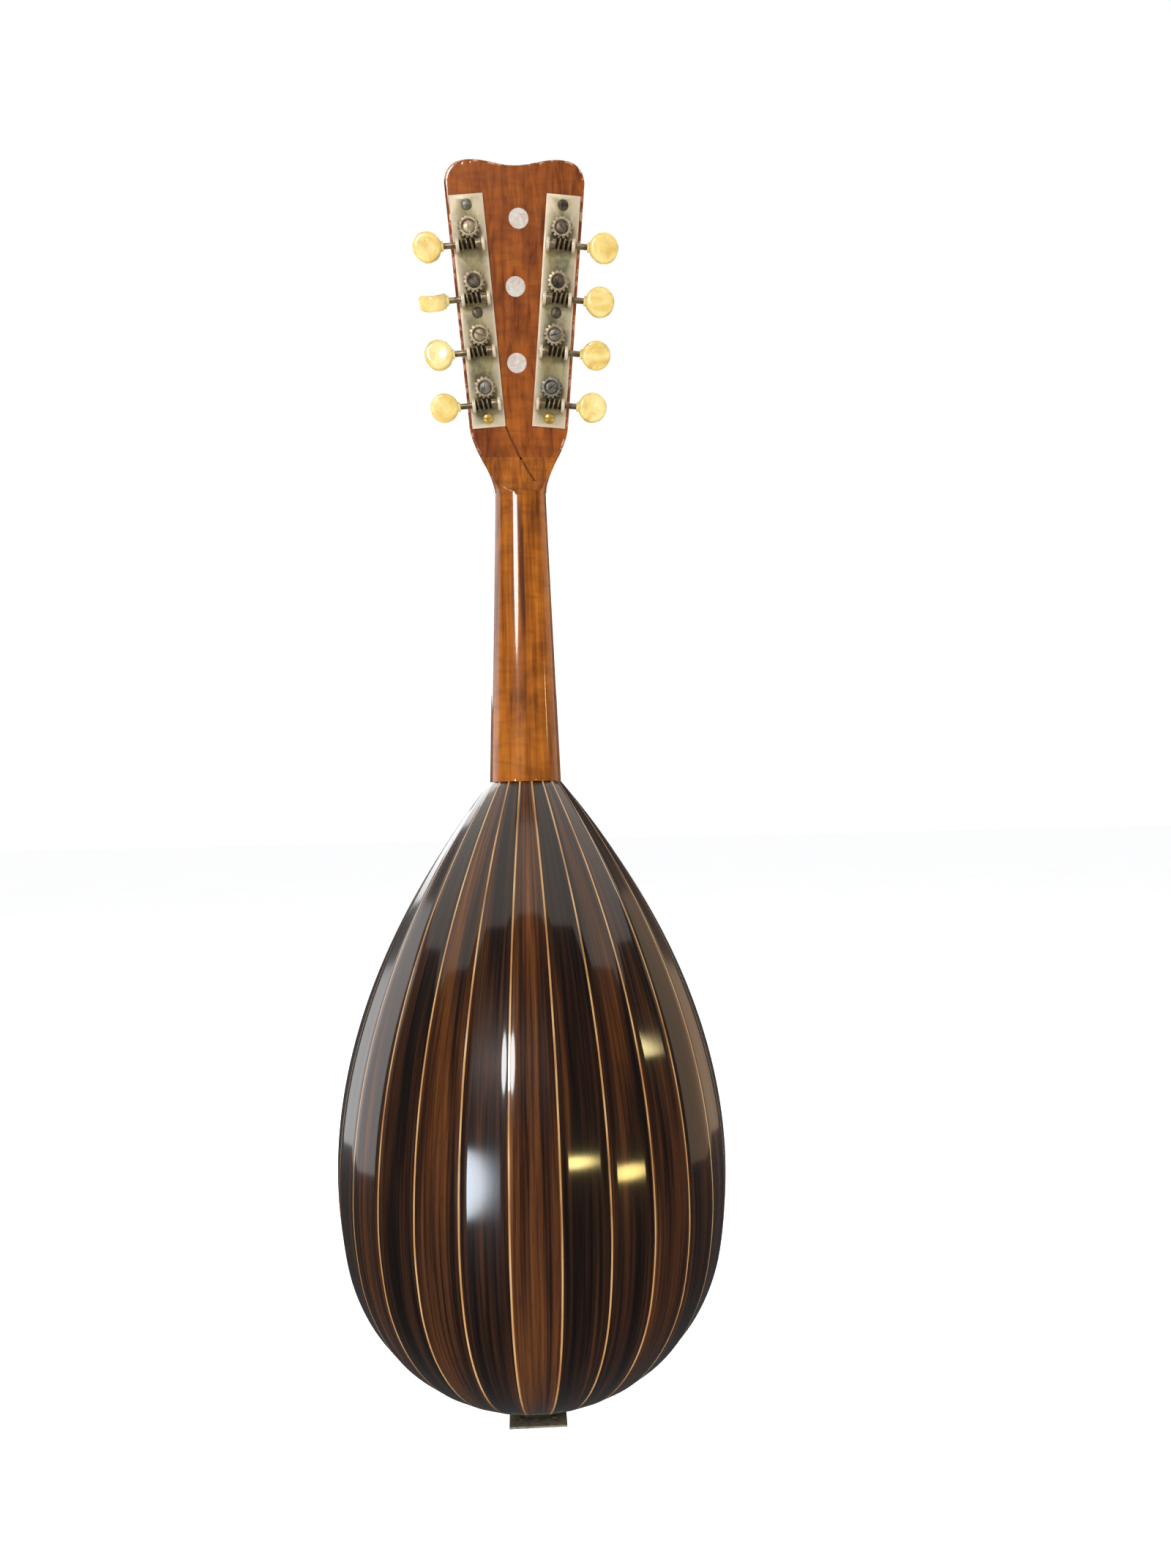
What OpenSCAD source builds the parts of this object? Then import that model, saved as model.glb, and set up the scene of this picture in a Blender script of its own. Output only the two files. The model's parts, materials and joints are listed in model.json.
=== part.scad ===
// Bowl-back mandolin with eight worm-gear tuners.
// Front plane of the neck and soundboard is Y = 0, the strings face -Y, the bowl swells towards +Y.
// The origin is on that plane, on the centre line, at the nut. +Z runs up to the headstock.

/* [Strings and neck] */
// Sounding length of the strings, from nut to bridge
scale_length = 330; // [326:1:334]
// Number of frets between the nut and the body
body_fret = 10; // [10:1:10]
// Number of frets on the fingerboard
fret_count = 17; // [12:1:17]
// Width of the neck at the nut
nut_width = 27; // [26:0.5:28]
// Width of the neck where it meets the body
heel_width = 36.6; // [36:0.2:38]
// Depth of the neck behind its front plane, at the nut
neck_depth = 16.4; // [16:0.1:17]
// Depth of the neck where it meets the body
heel_depth = 21.7; // [21:0.1:23]
// Thickness of the fingerboard
board_t = 5; // [4:0.5:6]

/* [Bowl] */
// Length of the body, from the neck joint to the tail
bowl_length = 310; // [305:1:315]
// Greatest width of the body
bowl_width = 188; // [184:1:194]
// Greatest depth of the body, from the front plane
bowl_depth = 125; // [120:1:130]
// Number of narrow ribs, an odd number, between the two wide side bands
rib_count = 13; // [13:2:13]
// Greatest width of a rib, between the middles of its two light lines
rib_width = 21.6; // [21:0.1:22]
// Width of the light line between two ribs
line_width = 1; // [0.8:0.1:1.2]
// Thickness of the ribs
rib_t = 2; // [1.8:0.1:2.4]
// Lean of the lower soundboard, behind the bridge, away from the strings
cant = 8; // [6:0.5:9]
// Thickness of the soundboard
board_thickness = 2.5; // [2:0.1:3]

/* [Headstock] */
// Length of the headstock behind the nut
headstock_length = 157; // [156:1:160]
// Lean of the headstock away from the strings
tilt = 11; // [10:0.5:12]
// Thickness of the headstock with its veneer
headstock_t = 15; // [14:0.5:15.5]
// Thickness of the front veneer
veneer_t = 1.5; // [1:0.1:2]

/* [Tuners] */
// Distance between neighbouring string posts
tuner_pitch = 25; // [25:0.1:25.4]
// Angle between a tuner plate and the centre line
lean = 4.7; // [4.5:0.1:5]
// Length of a tuner plate
plate_length = 109.5; // [108:0.5:111]
// Width of a tuner plate
plate_width = 16.6; // [16.4:0.1:17]
// Thickness of a tuner plate
plate_t = 1.2; // [1:0.1:1.4]
// Teeth on a gear wheel
teeth = 14; // [14:1:14]
// Distance between the axes of a gear wheel and its worm
centre_gap = 8; // [8:0.05:8.1]
// Radius of a tuner button
button_r = 7.2; // [6.8:0.1:7.4]
// Radius of a string post
post_r = 3; // [2.8:0.1:3.1]
// Radius of a worm's shaft
shaft_r = 1.5; // [1.4:0.05:1.6]

/* [Hidden] */
$fn = 32;
play = 0.06;
glue = 0.2;

// Neck and strings
joint_z = -fret_place(body_fret);
board_end = fret_place(fret_count) + 3;
nut_t = 5;
nut_front = 6.6;
fret_crown = 0.9;
fret_tang = 0.5;
fret_r = 1.3;
dot_frets = [5, 7, 10, 12, 15];
dot_r = 2.6;
dot_t = 1.2;
nut_string_y = -6.25;
bridge_string_y = -10.2;
course_at_nut = 6.4;
pair_at_nut = 2.4;
course_at_bridge = 12;
pair_at_bridge = 2.6;
string_radii = [0.13, 0.19, 0.31, 0.43];
winding_h = [10, 6.5];

// Bowl: where the width, the depth and the rib width are greatest, and how full their curves are
widest_at = 186;
deepest_at = 222;
rib_widest_at = 191;
rib_width_at_neck = 5.8;
upper_stations = 9;
lower_stations = 15;
last_station = 1;
cant_s = scale_length + joint_z + 6;
side_lines = (rib_count + 1) / 2;

// Front of the body
binding_w = 2;
hole_z = -236;
hole_rx = 31;
hole_rz = 21;
rosette_w = 7;
inlay_t = 0.8;
bar_w = 5;
bar_h = 12;
lining_w = 3;
lining_h = 8;
guard_t = 0.6;

// Headstock
flare_length = 32;
flare_drop = 8.6;
side_slope = tan(lean);
corner_r = 10;
dip = 2.6;
lobe_x = 20.6;
disc_r = 5;
disc_t = 1.2;
disc_places = [[-1.7, 130], [0.4, 98.5], [0.4, 62.5]];

// Tuners, measured on a plate: X out to the button, Y out of the back, Z up the plate
strip_x = 19.4;
strip_s = 86;
strip_shift = 1.4;
gear_pitch_r = 5.1;
tooth_pitch = 2 * PI * gear_pitch_r / teeth;
gear_root_r = 4.4;
gear_tip_r = 5.5;
gear_low = 1.9;
gear_t = 3;
gear_top = gear_low + gear_t;
recess = 0.8;
tenon_r = 2;
tenon_top = gear_top - recess;
gear_screw_r = 3.1;
gear_screw_t = 1;
gear_shank_r = 1.1;
worm_y = gear_low + gear_t / 2;
worm_r = 2.6;
worm_throw = 0.6;
thread_from = -2.2;
thread_fn = 10;
seat_gap = 0.03;
lug_in = 5.45;
lug_out = 7.1;
lug_length = 6.6;
thread_to = lug_in - 0.1;
button_x = 21;
button_half = 4.2;
button_round = 2.4;
stem_r = 2.5;
stem_from = 13;
shaft_end = button_x - 1.5;
post_out = 14;
string_hole_r = 0.8;
string_hole_h = 8.2;
bush_r = 4.2;
bush_depth = 7;
flange_r = 5.4;
flange_t = 1;
screw_r = 1.5;
screw_head_r = 2.6;
screw_head_t = 1.2;
screw_length = 9;
screw_places = [50, 0, -50.5];
gear_slots = [4, 33, 60, 2, -28, 12, 75, 48];
button_turns = [0, 68, 8, -6, 0, 5, -10, 6];
plate_screw_turns = [[8, 28, 0], [5, 0, 0]];

// ---------- curves ----------

// Distance from the nut to a fret
function fret_place(n) = scale_length * (1 - pow(2, -n / 12));

// Rises from 0 to 1 as u goes from 0 to 1: p sets how early, q how blunt it starts
function rise(u, p, q) = pow(1 - pow(1 - min(max(u, 0), 1), p), q);

// Width, depth and rib width of the bowl at a distance s below the neck joint
function half_width(s) = s < widest_at
    ? heel_width / 2 + (bowl_width - heel_width) / 2 * rise(s / widest_at, 1.94, 1)
    : bowl_width / 2 * rise((bowl_length - s) / (bowl_length - widest_at), 2.13, 0.56);
function depth(s) = s < deepest_at
    ? heel_depth + (bowl_depth - heel_depth) * rise(s / deepest_at, 2.55, 1)
    : bowl_depth * rise((bowl_length - s) / (bowl_length - deepest_at), 1.68, 0.57);
function rib_pitch(s) = s < rib_widest_at
    ? rib_width_at_neck + (rib_width - rib_width_at_neck) * rise(s / rib_widest_at, 2.05, 1)
    : rib_width * rise((bowl_length - s) / (bowl_length - rib_widest_at), 1.86, 0.58);

// A round-backed section of half width w and depth d: the point at distance u from its middle
function section(w, d, u) =
    let (b = min(w, d), r = (w + b) / 2, a = min(abs(u) / r * 180 / PI, 90),
         past = max(abs(u) - r * PI / 2, 0))
    [sign(u) * w * sin(a), d - b + b * cos(a) - past];

// A point on the outside of the bowl, and the same point moved inwards along the surface's normal
function skin(s, u) = let (p = section(half_width(s), depth(s), u)) [p.x, p.y, joint_z - s];
function inside(s, u, t) =
    let (e = 0.4, n = cross(skin(s + e, u) - skin(s - e, u), skin(s, u + e) - skin(s, u - e)))
    skin(s, u) + t * n / norm(n);
function wall_point(s, u, t) = s == 0
    ? let (p = section(half_width(0) - t, depth(0) - t, u * (half_width(0) - t) / half_width(0)))
      [p.x, p.y, joint_z]
    : inside(s, u, t);

// Distances below the neck joint of the rings that shape the bowl, closer together at the tail
stations = concat(
    [for (i = [0:upper_stations - 1]) i / upper_stations * widest_at],
    [for (i = [0:lower_stations]) widest_at
        + (bowl_length - last_station - widest_at) * sin(90 * i / lower_stations)]);

// Depth of the front plane, which leans back below the bridge, and the half width of the rim on it
function front(s) = max(s - cant_s, 0) * tan(cant);
function width_at(s, y) =
    let (w = half_width(s), d = depth(s), b = min(w, d), c = d - b)
    y <= c ? w : w * sqrt(max(1 - pow((y - c) / b, 2), 0));
function rim(s) = width_at(s, front(s));

// Distance below the joint at which the bowl is only y deep
function end_at(y) = bowl_length - (bowl_length - deepest_at)
    * (1 - pow(1 - pow(y / bowl_depth, 1 / 0.57), 1 / 1.68));
tail_s = end_at(front(bowl_length - 2.5));
tail_z = joint_z - tail_s;

// ---------- shapes used by several pieces ----------

// A solid through rings of four or more points, closed at both ends
module loft(rings) {
    n = len(rings[0]);
    m = len(rings);
    polyhedron(
        points = [for (r = rings) for (p = r) p],
        faces = concat(
            [[for (j = [n - 1:-1:0]) j], [for (j = [0:n - 1]) (m - 1) * n + j]],
            [for (i = [0:m - 2]) for (j = [0:n - 1])
                [i * n + j, i * n + (j + 1) % n, (i + 1) * n + (j + 1) % n]],
            [for (i = [0:m - 2]) for (j = [0:n - 1])
                [i * n + j, (i + 1) * n + (j + 1) % n, (i + 1) * n + j]]),
        convexity = 6);
}

// Cuts away all that lies in front of a plane t behind the soundboard's face
module behind_front(t) {
    difference() {
        children();
        translate([-150, t - 100, -600]) cube([300, 100, 700]);
        on_cant() translate([-150, t - 100, -200]) cube([300, 100, 200]);
    }
}

// Frame of the lower soundboard: Z = 0 is the bend, Y = 0 the face
module on_cant() translate([0, 0, joint_z - cant_s]) rotate([cant, 0, 0]) children();

// One strip of the bowl between two distances from its middle, given as numbers of rib widths
module stave(from, to, from_gap, to_gap, t) {
    loft([for (s = stations)
        let (a = from * rib_pitch(s) + from_gap, b = to * rib_pitch(s) + to_gap)
        [skin(s, a), skin(s, b), wall_point(s, b, t), wall_point(s, a, t)]]);
}

// Outline of the rim, inset by e, from the neck joint to the tail
function rim_point(s, e) =
    let (h = 0.05, k = (rim(s + h) - rim(s - h)) / (2 * h), n = sqrt(1 + k * k))
    [rim(s) - e / n, -(s + e * k / n)];
rim_steps = concat([for (i = [1:12]) cant_s * i / 12],
                   [for (i = [1:16]) cant_s + (tail_s - cant_s) * sin(90 * i / 16.6)]);
function mirrored(points) = concat(points, [for (i = [len(points) - 1:-1:0]) [-points[i].x, points[i].y]]);
module rim_outline(e) polygon(mirrored(concat(
    [[rim_point(0, e).x, 0]], [for (s = rim_steps) rim_point(s, e)], [[0.01, e - tail_s]])));

// A slab t thick behind the face of the soundboard, with its bend, cut to an outline
module front_slab(t) {
    low = tail_s + 20;
    intersection() {
        translate([0, 0, joint_z]) rotate([90, 0, 90]) linear_extrude(300, center = true)
            polygon([[0, 2], [0, -cant_s], [front(low), -low], [front(low) + t / cos(cant), -low],
                     [t, t * tan(cant / 2) - cant_s], [t, 2]]);
        translate([0, 80, joint_z]) rotate([90, 0, 0]) linear_extrude(100) children();
    }
}

module oval(rx, rz) {
    polygon([for (a = [0:10:350]) [rx * cos(a), rz * sin(a)]]);
}

// Draws an outline in the front plane, with t of thickness behind it
module on_front(z, t) translate([0, t, z]) rotate([90, 0, 0]) linear_extrude(t) children();

// Frame of the headstock: Z up its length, Y = 0 its front face
module on_headstock() translate([0, 0, nut_t]) rotate([-tilt, 0, 0]) children();
function headstock_point(x, h, s) =
    [x, h * cos(tilt) + s * sin(tilt), nut_t + s * cos(tilt) - h * sin(tilt)];

// Frame of one tuner plate, on its underside, and of one tuner, on the plate's face at its gear
module on_strip(right) on_headstock() mirror([right ? 1 : 0, 0, 0])
    translate([strip_x, headstock_t, strip_s]) rotate([0, lean, 0]) children();
module at_tuner(n) on_strip(n > 4) translate([0, plate_t, tuner_v(n)]) children();
function tuner_v(n) = (1.5 - (n - 1) % 4) * tuner_pitch + strip_shift;
function tuner_place(n) =
    [(n > 4 ? -1 : 1) * (strip_x + tuner_v(n) * sin(lean)), strip_s + tuner_v(n) * cos(lean)];
module along_y(from, to, r) translate([0, from, 0]) rotate([-90, 0, 0]) cylinder(h = to - from, r = r);

// ---------- body ----------

module bowl_ribs() color([0.30, 0.10, 0.05]) {
    half = line_width / 2;
    for (k = [-(rib_count - 1) / 2:(rib_count - 1) / 2])
        behind_front(board_thickness) stave(k - 0.5, k + 0.5, half, -half, rib_t);
    for (side = [0, 1]) mirror([side, 0, 0])
        behind_front(board_thickness) stave(side_lines - 0.5, side_lines + 3.5, half, 0, rib_t);
}

module rib_fillets() color([0.90, 0.72, 0.42])
    for (side = [-1, 1]) for (k = [1:side_lines])
        behind_front(board_thickness)
            stave(side * (k - 0.5), side * (k - 0.5), -line_width / 2, line_width / 2, rib_t);

// A band over the ends of the ribs at the tail
clasp_t = 1.5;
clasp_gap = 0.4;
clasp_reach = 58;
function clasp_point(y, a, out) =
    let (s = end_at(y) - clasp_reach * (1 - cos(a)), e = 0.5,
         p = [sign(a) * width_at(s, y), joint_z - s],
         s2 = end_at(y) - clasp_reach * (1 - cos(a + e)),
         q = [sign(a + e) * width_at(s2, y), joint_z - s2],
         n = [q.y - p.y, p.x - q.x] / norm(q - p))
    [p.x + out * n.x, y, p.y + out * n.y];
module tail_clasp() color([0.35, 0.13, 0.06])
    behind_front(board_thickness)
        loft([for (a = [-84:6:84])
            let (low = 4, high = 20 + 14 * cos(a), rows = [0:5])
            concat([for (i = rows) clasp_point(low + (high - low) * i / 5, a, clasp_gap)],
                   [for (i = rows) clasp_point(high - (high - low) * i / 5, a, clasp_t)])]);

module soundboard() color([0.86, 0.66, 0.38]) difference() {
    front_slab(board_thickness) rim_outline(binding_w);
    translate([0, -1, 0]) on_front(hole_z, board_thickness + 2) oval(hole_rx, hole_rz);
    translate([0, -1, 0]) on_front(hole_z, inlay_t + 1) oval(hole_rx + rosette_w, hole_rz + rosette_w);
}

module rim_binding() color([0.93, 0.88, 0.74]) front_slab(board_thickness) difference() {
    rim_outline(0);
    rim_outline(binding_w);
    translate([-heel_width / 2 + binding_w, -1]) square([heel_width - 2 * binding_w, 2]);
}

module rosette() color([0.15, 0.10, 0.07]) on_front(hole_z, inlay_t) difference() {
    oval(hole_rx + rosette_w, hole_rz + rosette_w);
    oval(hole_rx, hole_rz);
}

module pickguard() color([0.35, 0.12, 0.05]) {
    low = -306;
    translate([0, -guard_t, 0]) on_front(0, guard_t) difference() {
        polygon(mirrored([[0.01, hole_z + 10], [40, hole_z + 2], [47, hole_z - 14], [44, hole_z - 34],
            [30, low + 22], [18, low + 5], [6, low]]));
        translate([0, hole_z]) oval(hole_rx + rosette_w + 1, hole_rz + rosette_w + 1);
    }
}

// Cross bars under the soundboard, above and below the hole and at the bend
module soundboard_braces() color([0.80, 0.60, 0.36])
    for (z = [-200, -268, joint_z - cant_s + 5]) {
        half = half_width(joint_z - z) - rib_t - lining_w - 2;
        translate([-half, board_thickness, z - bar_w / 2]) cube([2 * half, bar_h, bar_w]);
    }

module top_linings() color([0.78, 0.58, 0.34]) {
    steps = [for (i = [0:16]) 40 + (tail_s - 62) * i / 16];
    for (side = [0, 1]) mirror([side, 0, 0])
        loft([for (s = steps)
            let (y = front(s) + board_thickness / cos(cant) + glue,
                 k = half_width(s + 0.5) - half_width(s - 0.5), gap = (rib_t + 3 * glue) * sqrt(1 + k * k))
            [[width_at(s, y) - gap, y, joint_z - s],
             [width_at(s, y) - gap - lining_w, y, joint_z - s],
             [width_at(s, y + lining_h) - gap - lining_w, y + lining_h, joint_z - s],
             [width_at(s, y + lining_h) - gap, y + lining_h, joint_z - s]]]);
}

// A block with the inside shape of the bowl between two distances below the joint, from y = low
block_sides = 12;
module bowl_block(from, to, ahead, shrink, low)
    loft([for (i = [0:4])
        let (s = from + (to - from) * i / 4, w = half_width(s + ahead) - shrink,
             d = depth(s + ahead) - shrink, r = (w + min(w, d)) / 2)
        concat([for (j = [-block_sides:block_sides])
                    let (p = section(w, d, j / block_sides * r * PI / 2)) [p.x, p.y, joint_z - s]],
               [[w, low, joint_z - s], [-w, low, joint_z - s]])]);
module neck_block() color([0.70, 0.50, 0.30])
    bowl_block(0, 34, 0, 2 * rib_t, board_thickness);
module tail_block() color([0.70, 0.50, 0.30]) intersection() {
    bowl_block(tail_s - 18, tail_s - 5, 3, rib_t, -1);
    behind_front(board_thickness) translate([-60, -20, tail_z]) cube([120, front(tail_s) + 62, 20]);
}

// ---------- neck ----------

function neck_width(z) = nut_width + (heel_width - nut_width) * z / joint_z;
module neck() color([0.50, 0.22, 0.07]) {
    n = 10;
    // The last ring leans with the headstock's end face
    loft([for (i = [0:6])
        let (z = joint_z * (1 - i / 6), w = neck_width(z) / 2,
             d = neck_depth + (heel_depth - neck_depth) * z / joint_z, r = (w + min(w, d)) / 2)
        concat([for (j = [-n:n]) let (p = section(w, d, j / n * r * PI / 2))
                    [p.x, p.y, i < 6 ? z : nut_t - p.y * tan(tilt)]],
               [[w, 0, i < 6 ? z : nut_t], [-w, 0, i < 6 ? z : nut_t]])]);
}

module fingerboard() color([0.10, 0.07, 0.06]) difference() {
    translate([0, -board_t, 0]) on_front(0, board_t)
        polygon([[nut_width / 2, 0], [neck_width(-board_end) / 2, -board_end],
                 [-neck_width(-board_end) / 2, -board_end], [-nut_width / 2, 0]]);
    for (n = [1:fret_count])
        translate([-50, -board_t - 1, -fret_place(n) - fret_tang / 2])
            cube([100, fret_tang * 3 + 1, fret_tang]);
    for (p = dots()) translate([p.x, 0, p.y]) along_y(-board_t - 1, -board_t + dot_t, dot_r);
}

// Places of the fingerboard's dots: two at the octave
function dots() = [for (n = dot_frets) for (x = n == 12 ? [-7, 7] : [0])
    [x, -(fret_place(n) + fret_place(n - 1)) / 2]];
module fingerboard_dots() color([0.92, 0.90, 0.84])
    for (p = dots()) translate([p.x, 0, p.y]) along_y(-board_t, -board_t + dot_t, dot_r);

module frets() color([0.75, 0.72, 0.62])
    for (n = [1:fret_count]) {
        z = -fret_place(n);
        half = neck_width(z) / 2 - 0.3;
        translate([0, -board_t, z]) {
            intersection() {
                translate([-half, fret_r - fret_crown, 0]) rotate([0, 90, 0])
                    cylinder(h = 2 * half, r = fret_r);
                translate([-half, -fret_crown, -fret_r]) cube([2 * half, fret_crown, 2 * fret_r]);
            }
            translate([-half, 0, -fret_tang / 2]) cube([2 * half, fret_tang * 3, fret_tang]);
        }
    }

// Where string k, counted from -X, crosses the nut, the bridge and the tailpiece
function string_at(k, course, pair) =
    (floor(k / 2) - 1.5) * course + (k % 2 - 0.5) * pair;

module nut() color([0.93, 0.89, 0.78]) difference() {
    translate([-nut_width / 2, -nut_front, 0]) cube([nut_width, nut_front, nut_t]);
    for (k = [0:7]) translate([string_at(k, course_at_nut, pair_at_nut), nut_string_y, -1])
        cylinder(h = nut_t + 2, r = 0.6);
    for (k = [0:7]) translate([string_at(k, course_at_nut, pair_at_nut) - 0.6, -nut_front - 1, -1])
        cube([1.2, nut_front + nut_string_y + 1, nut_t + 2]);
}

// ---------- bridge and tailpiece ----------

bridge_half = 52;
bridge_top = 8;
saddle_t = 2.4;
saddle_half = 27;
module bridge() color([0.08, 0.06, 0.06])
    translate([0, 0, -scale_length]) difference() {
        translate([0, 0, -4]) linear_extrude(8) polygon(mirrored(
            [[0.01, 0], [22, 0], [26, -1.6], [36, -1.6], [40, 0], [bridge_half, 0], [bridge_half, -2.2],
             [saddle_half + 6, -4.2], [saddle_half + 1, -bridge_top], [0.01, -bridge_top]]));
        translate([-saddle_half, -bridge_top - 1, -saddle_t / 2]) cube([2 * saddle_half, 2.2, saddle_t]);
    }
module bridge_saddle() color([0.93, 0.89, 0.78])
    translate([0, 0, -scale_length]) difference() {
        translate([-saddle_half, bridge_string_y + 0.05, -saddle_t / 2])
            cube([2 * saddle_half, -bridge_top + 1.2 - bridge_string_y - 0.05, saddle_t]);
        for (k = [0:7])
            translate([string_at(k, course_at_bridge, pair_at_bridge), bridge_string_y, -2])
            cylinder(h = 4, r = 0.6);
    }

tailpiece_half = 19;
tailpiece_length = 30;
tailpiece_t = 1;
leg_length = 24;
leg_screws = [-8, 8];
hook_v = -(tail_s - cant_s) / cos(cant) + 12;
leg_z = tail_z - clasp_t - 0.5;
module tailpiece() color([0.72, 0.66, 0.48]) difference() {
    union() {
        on_cant() translate([0, 0, hook_v + 2]) rotate([90, 0, 0]) linear_extrude(tailpiece_t)
            polygon(mirrored([[tailpiece_half - 5, 16], [tailpiece_half, 4], [tailpiece_half, -13],
                [tailpiece_half - 5, -15.6]]));
        translate([-tailpiece_half + 5, front(tail_s) - 1.4, leg_z - tailpiece_t])
            cube([2 * tailpiece_half - 10, leg_length, tailpiece_t]);
        for (k = [0:7]) on_cant() translate([hook_x(k), 0, hook_v]) along_y(-3.6, -tailpiece_t / 2, 0.9);
    }
    for (x = leg_screws) translate([x, front(tail_s) + 14, leg_z])
        cylinder(h = 8, r = screw_r, center = true);
}
function hook_x(k) = (k - 3.5) * 4.2;
module tailpiece_screws() color([0.70, 0.66, 0.55])
    for (x = leg_screws) translate([x, front(tail_s) + 14, leg_z - tailpiece_t]) difference() {
        union() {
            cylinder(h = 1.2, r = screw_r);
            translate([0, 0, -screw_head_t])
                cylinder(h = screw_head_t, r1 = screw_head_r - 0.8, r2 = screw_head_r);
        }
        translate([-5, -0.35, -screw_head_t - 0.1]) cube([10, 0.7, 0.7]);
    }

// A round wire of radius r through a list of points, with eight sides
module wire(points, r) {
    last = len(points) - 1;
    way = [for (i = [0:last - 1]) (points[i + 1] - points[i]) / norm(points[i + 1] - points[i])];
    loft([for (i = [0:last])
        let (t = way[max(i - 1, 0)] + way[min(i, last - 1)], u = cross(t, [1, 0, 0]), v = cross(t, u))
        [for (a = [0:45:315]) points[i] + r * (cos(a) * u / norm(u) + sin(a) * v / norm(v))]]);
}

// Post that holds string k: the outer strings go to the nearest posts
function post_of(k) = k > 3 ? k - 3 : 8 - k;
module strings() color([0.80, 0.78, 0.72])
    for (k = [0:7]) {
        side = k > 3 ? 1 : -1;
        r = string_radii[floor(k / 2)];
        n = post_of(k);
        p = tuner_place(n);
        nut_x = string_at(k, course_at_nut, pair_at_nut);
        bend = [0, joint_z - cant_s] + hook_v * [-sin(cant), cos(cant)];
        wire([[hook_x(k), bend.x - 2.2, bend.y + 1.1 + r],
              [string_at(k, course_at_bridge, pair_at_bridge), bridge_string_y, -scale_length],
              [nut_x, nut_string_y, 0.5],
              [nut_x, nut_string_y, nut_t + 0.2],
              headstock_point(p.x - side * (post_r + r + glue), -winding_h[n % 2], p.y)], r);
    }

// ---------- headstock ----------

// Half width of the headstock at a distance s from the nut
function head_half(s) = 22.2 + side_slope * s
    - (s < flare_length ? flare_drop * (1 + cos(180 * s / flare_length)) / 2 : 0);
corner_s = headstock_length - corner_r - 0.6;
module headstock_outline() {
    cx = head_half(corner_s) - corner_r;
    polygon(mirrored(concat(
        [for (s = [0:4:flare_length]) [head_half(s), s]],
        [for (a = [0:13:78]) [cx + corner_r * cos(a), corner_s + corner_r * sin(a)]],
        [for (x = [23:-4.5:0.5]) [x, headstock_length - dip * (1 + cos(180 * x / lobe_x)) / 2]])));
}
module head_plate(from, to)
    translate([0, to, 0]) rotate([90, 0, 0]) linear_extrude(to - from) headstock_outline();

module headstock() color([0.48, 0.20, 0.07]) on_headstock() difference() {
    union() {
        head_plate(veneer_t, headstock_t);
        // The rounded back of the neck runs out into the flat back
        loft([for (i = [0:4])
            let (s = 3.5 * i, d = neck_depth / cos(tilt) - 0.5 * i,
                 w = nut_width / 2 + 0.2 * i, r = (w + min(w, d)) / 2)
            concat([for (j = [-8:8]) let (p = section(w, d, j / 8 * r * PI / 2.2)) [p.x, p.y, s]],
                   [[w * 0.98, veneer_t + 1, s], [-w * 0.98, veneer_t + 1, s]])]);
    }
    for (n = [1:8]) let (p = tuner_place(n)) translate([p.x, 0, p.y]) {
        along_y(-1, bush_depth, bush_r);
        along_y(0, headstock_t + 1, post_r + 0.4);
    }
    for (p = disc_places) translate([p.x, 0, p.y])
        along_y(headstock_t - disc_t, headstock_t + 1, disc_r);
    for (side = [0, 1]) mirror([side, 0, 0])
        translate([strip_x, headstock_t, strip_s]) rotate([0, lean, 0])
            for (v = screw_places) translate([0, 0, v]) along_y(-screw_length + plate_t, 1, screw_r);
}

module headstock_veneer() color([0.25, 0.10, 0.05]) on_headstock() difference() {
    head_plate(0, veneer_t);
    for (n = [1:8]) let (p = tuner_place(n)) translate([p.x, 0, p.y])
        along_y(-1, veneer_t + 1, bush_r);
}

module headstock_dots() color([0.88, 0.82, 0.76]) on_headstock()
    for (p = disc_places) translate([p.x, 0, p.y]) along_y(headstock_t - disc_t, headstock_t, disc_r);

module post_bushings() color([0.85, 0.80, 0.65]) on_headstock()
    for (n = [1:8]) let (p = tuner_place(n)) translate([p.x, 0, p.y]) difference() {
        union() {
            along_y(0, bush_depth, bush_r);
            along_y(-flange_t, 0, flange_r);
        }
        along_y(-flange_t - 1, bush_depth + 1, post_r + play);
    }

// ---------- tuners ----------

module tuner_plate(right) color([0.66, 0.60, 0.40]) on_strip(right) difference() {
    union() {
        translate([-plate_width / 2, 0, -plate_length / 2]) cube([plate_width, plate_t, plate_length]);
        for (n = [1:4]) for (x = [-lug_out, lug_in])
            translate([x, plate_t, tuner_v(n) - centre_gap]) {
                translate([0, -plate_t / 2, -lug_length / 2])
                    cube([lug_out - lug_in, worm_y + plate_t / 2, lug_length]);
                translate([0, worm_y, 0]) rotate([0, 90, 0])
                    cylinder(h = lug_out - lug_in, r = lug_length / 2);
            }
    }
    for (n = [1:4]) {
        translate([0, 0, tuner_v(n)]) along_y(-1, plate_t + 1, post_r + play);
        translate([-lug_out - 1, plate_t + worm_y, tuner_v(n) - centre_gap]) rotate([0, 90, 0])
            cylinder(h = 2 * lug_out + 2, r = shaft_r + play);
    }
    for (v = screw_places) translate([0, 0, v]) along_y(-1, plate_t + 1, screw_r);
}
module tuner_plate_left() tuner_plate(false);
module tuner_plate_right() tuner_plate(true);

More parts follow.
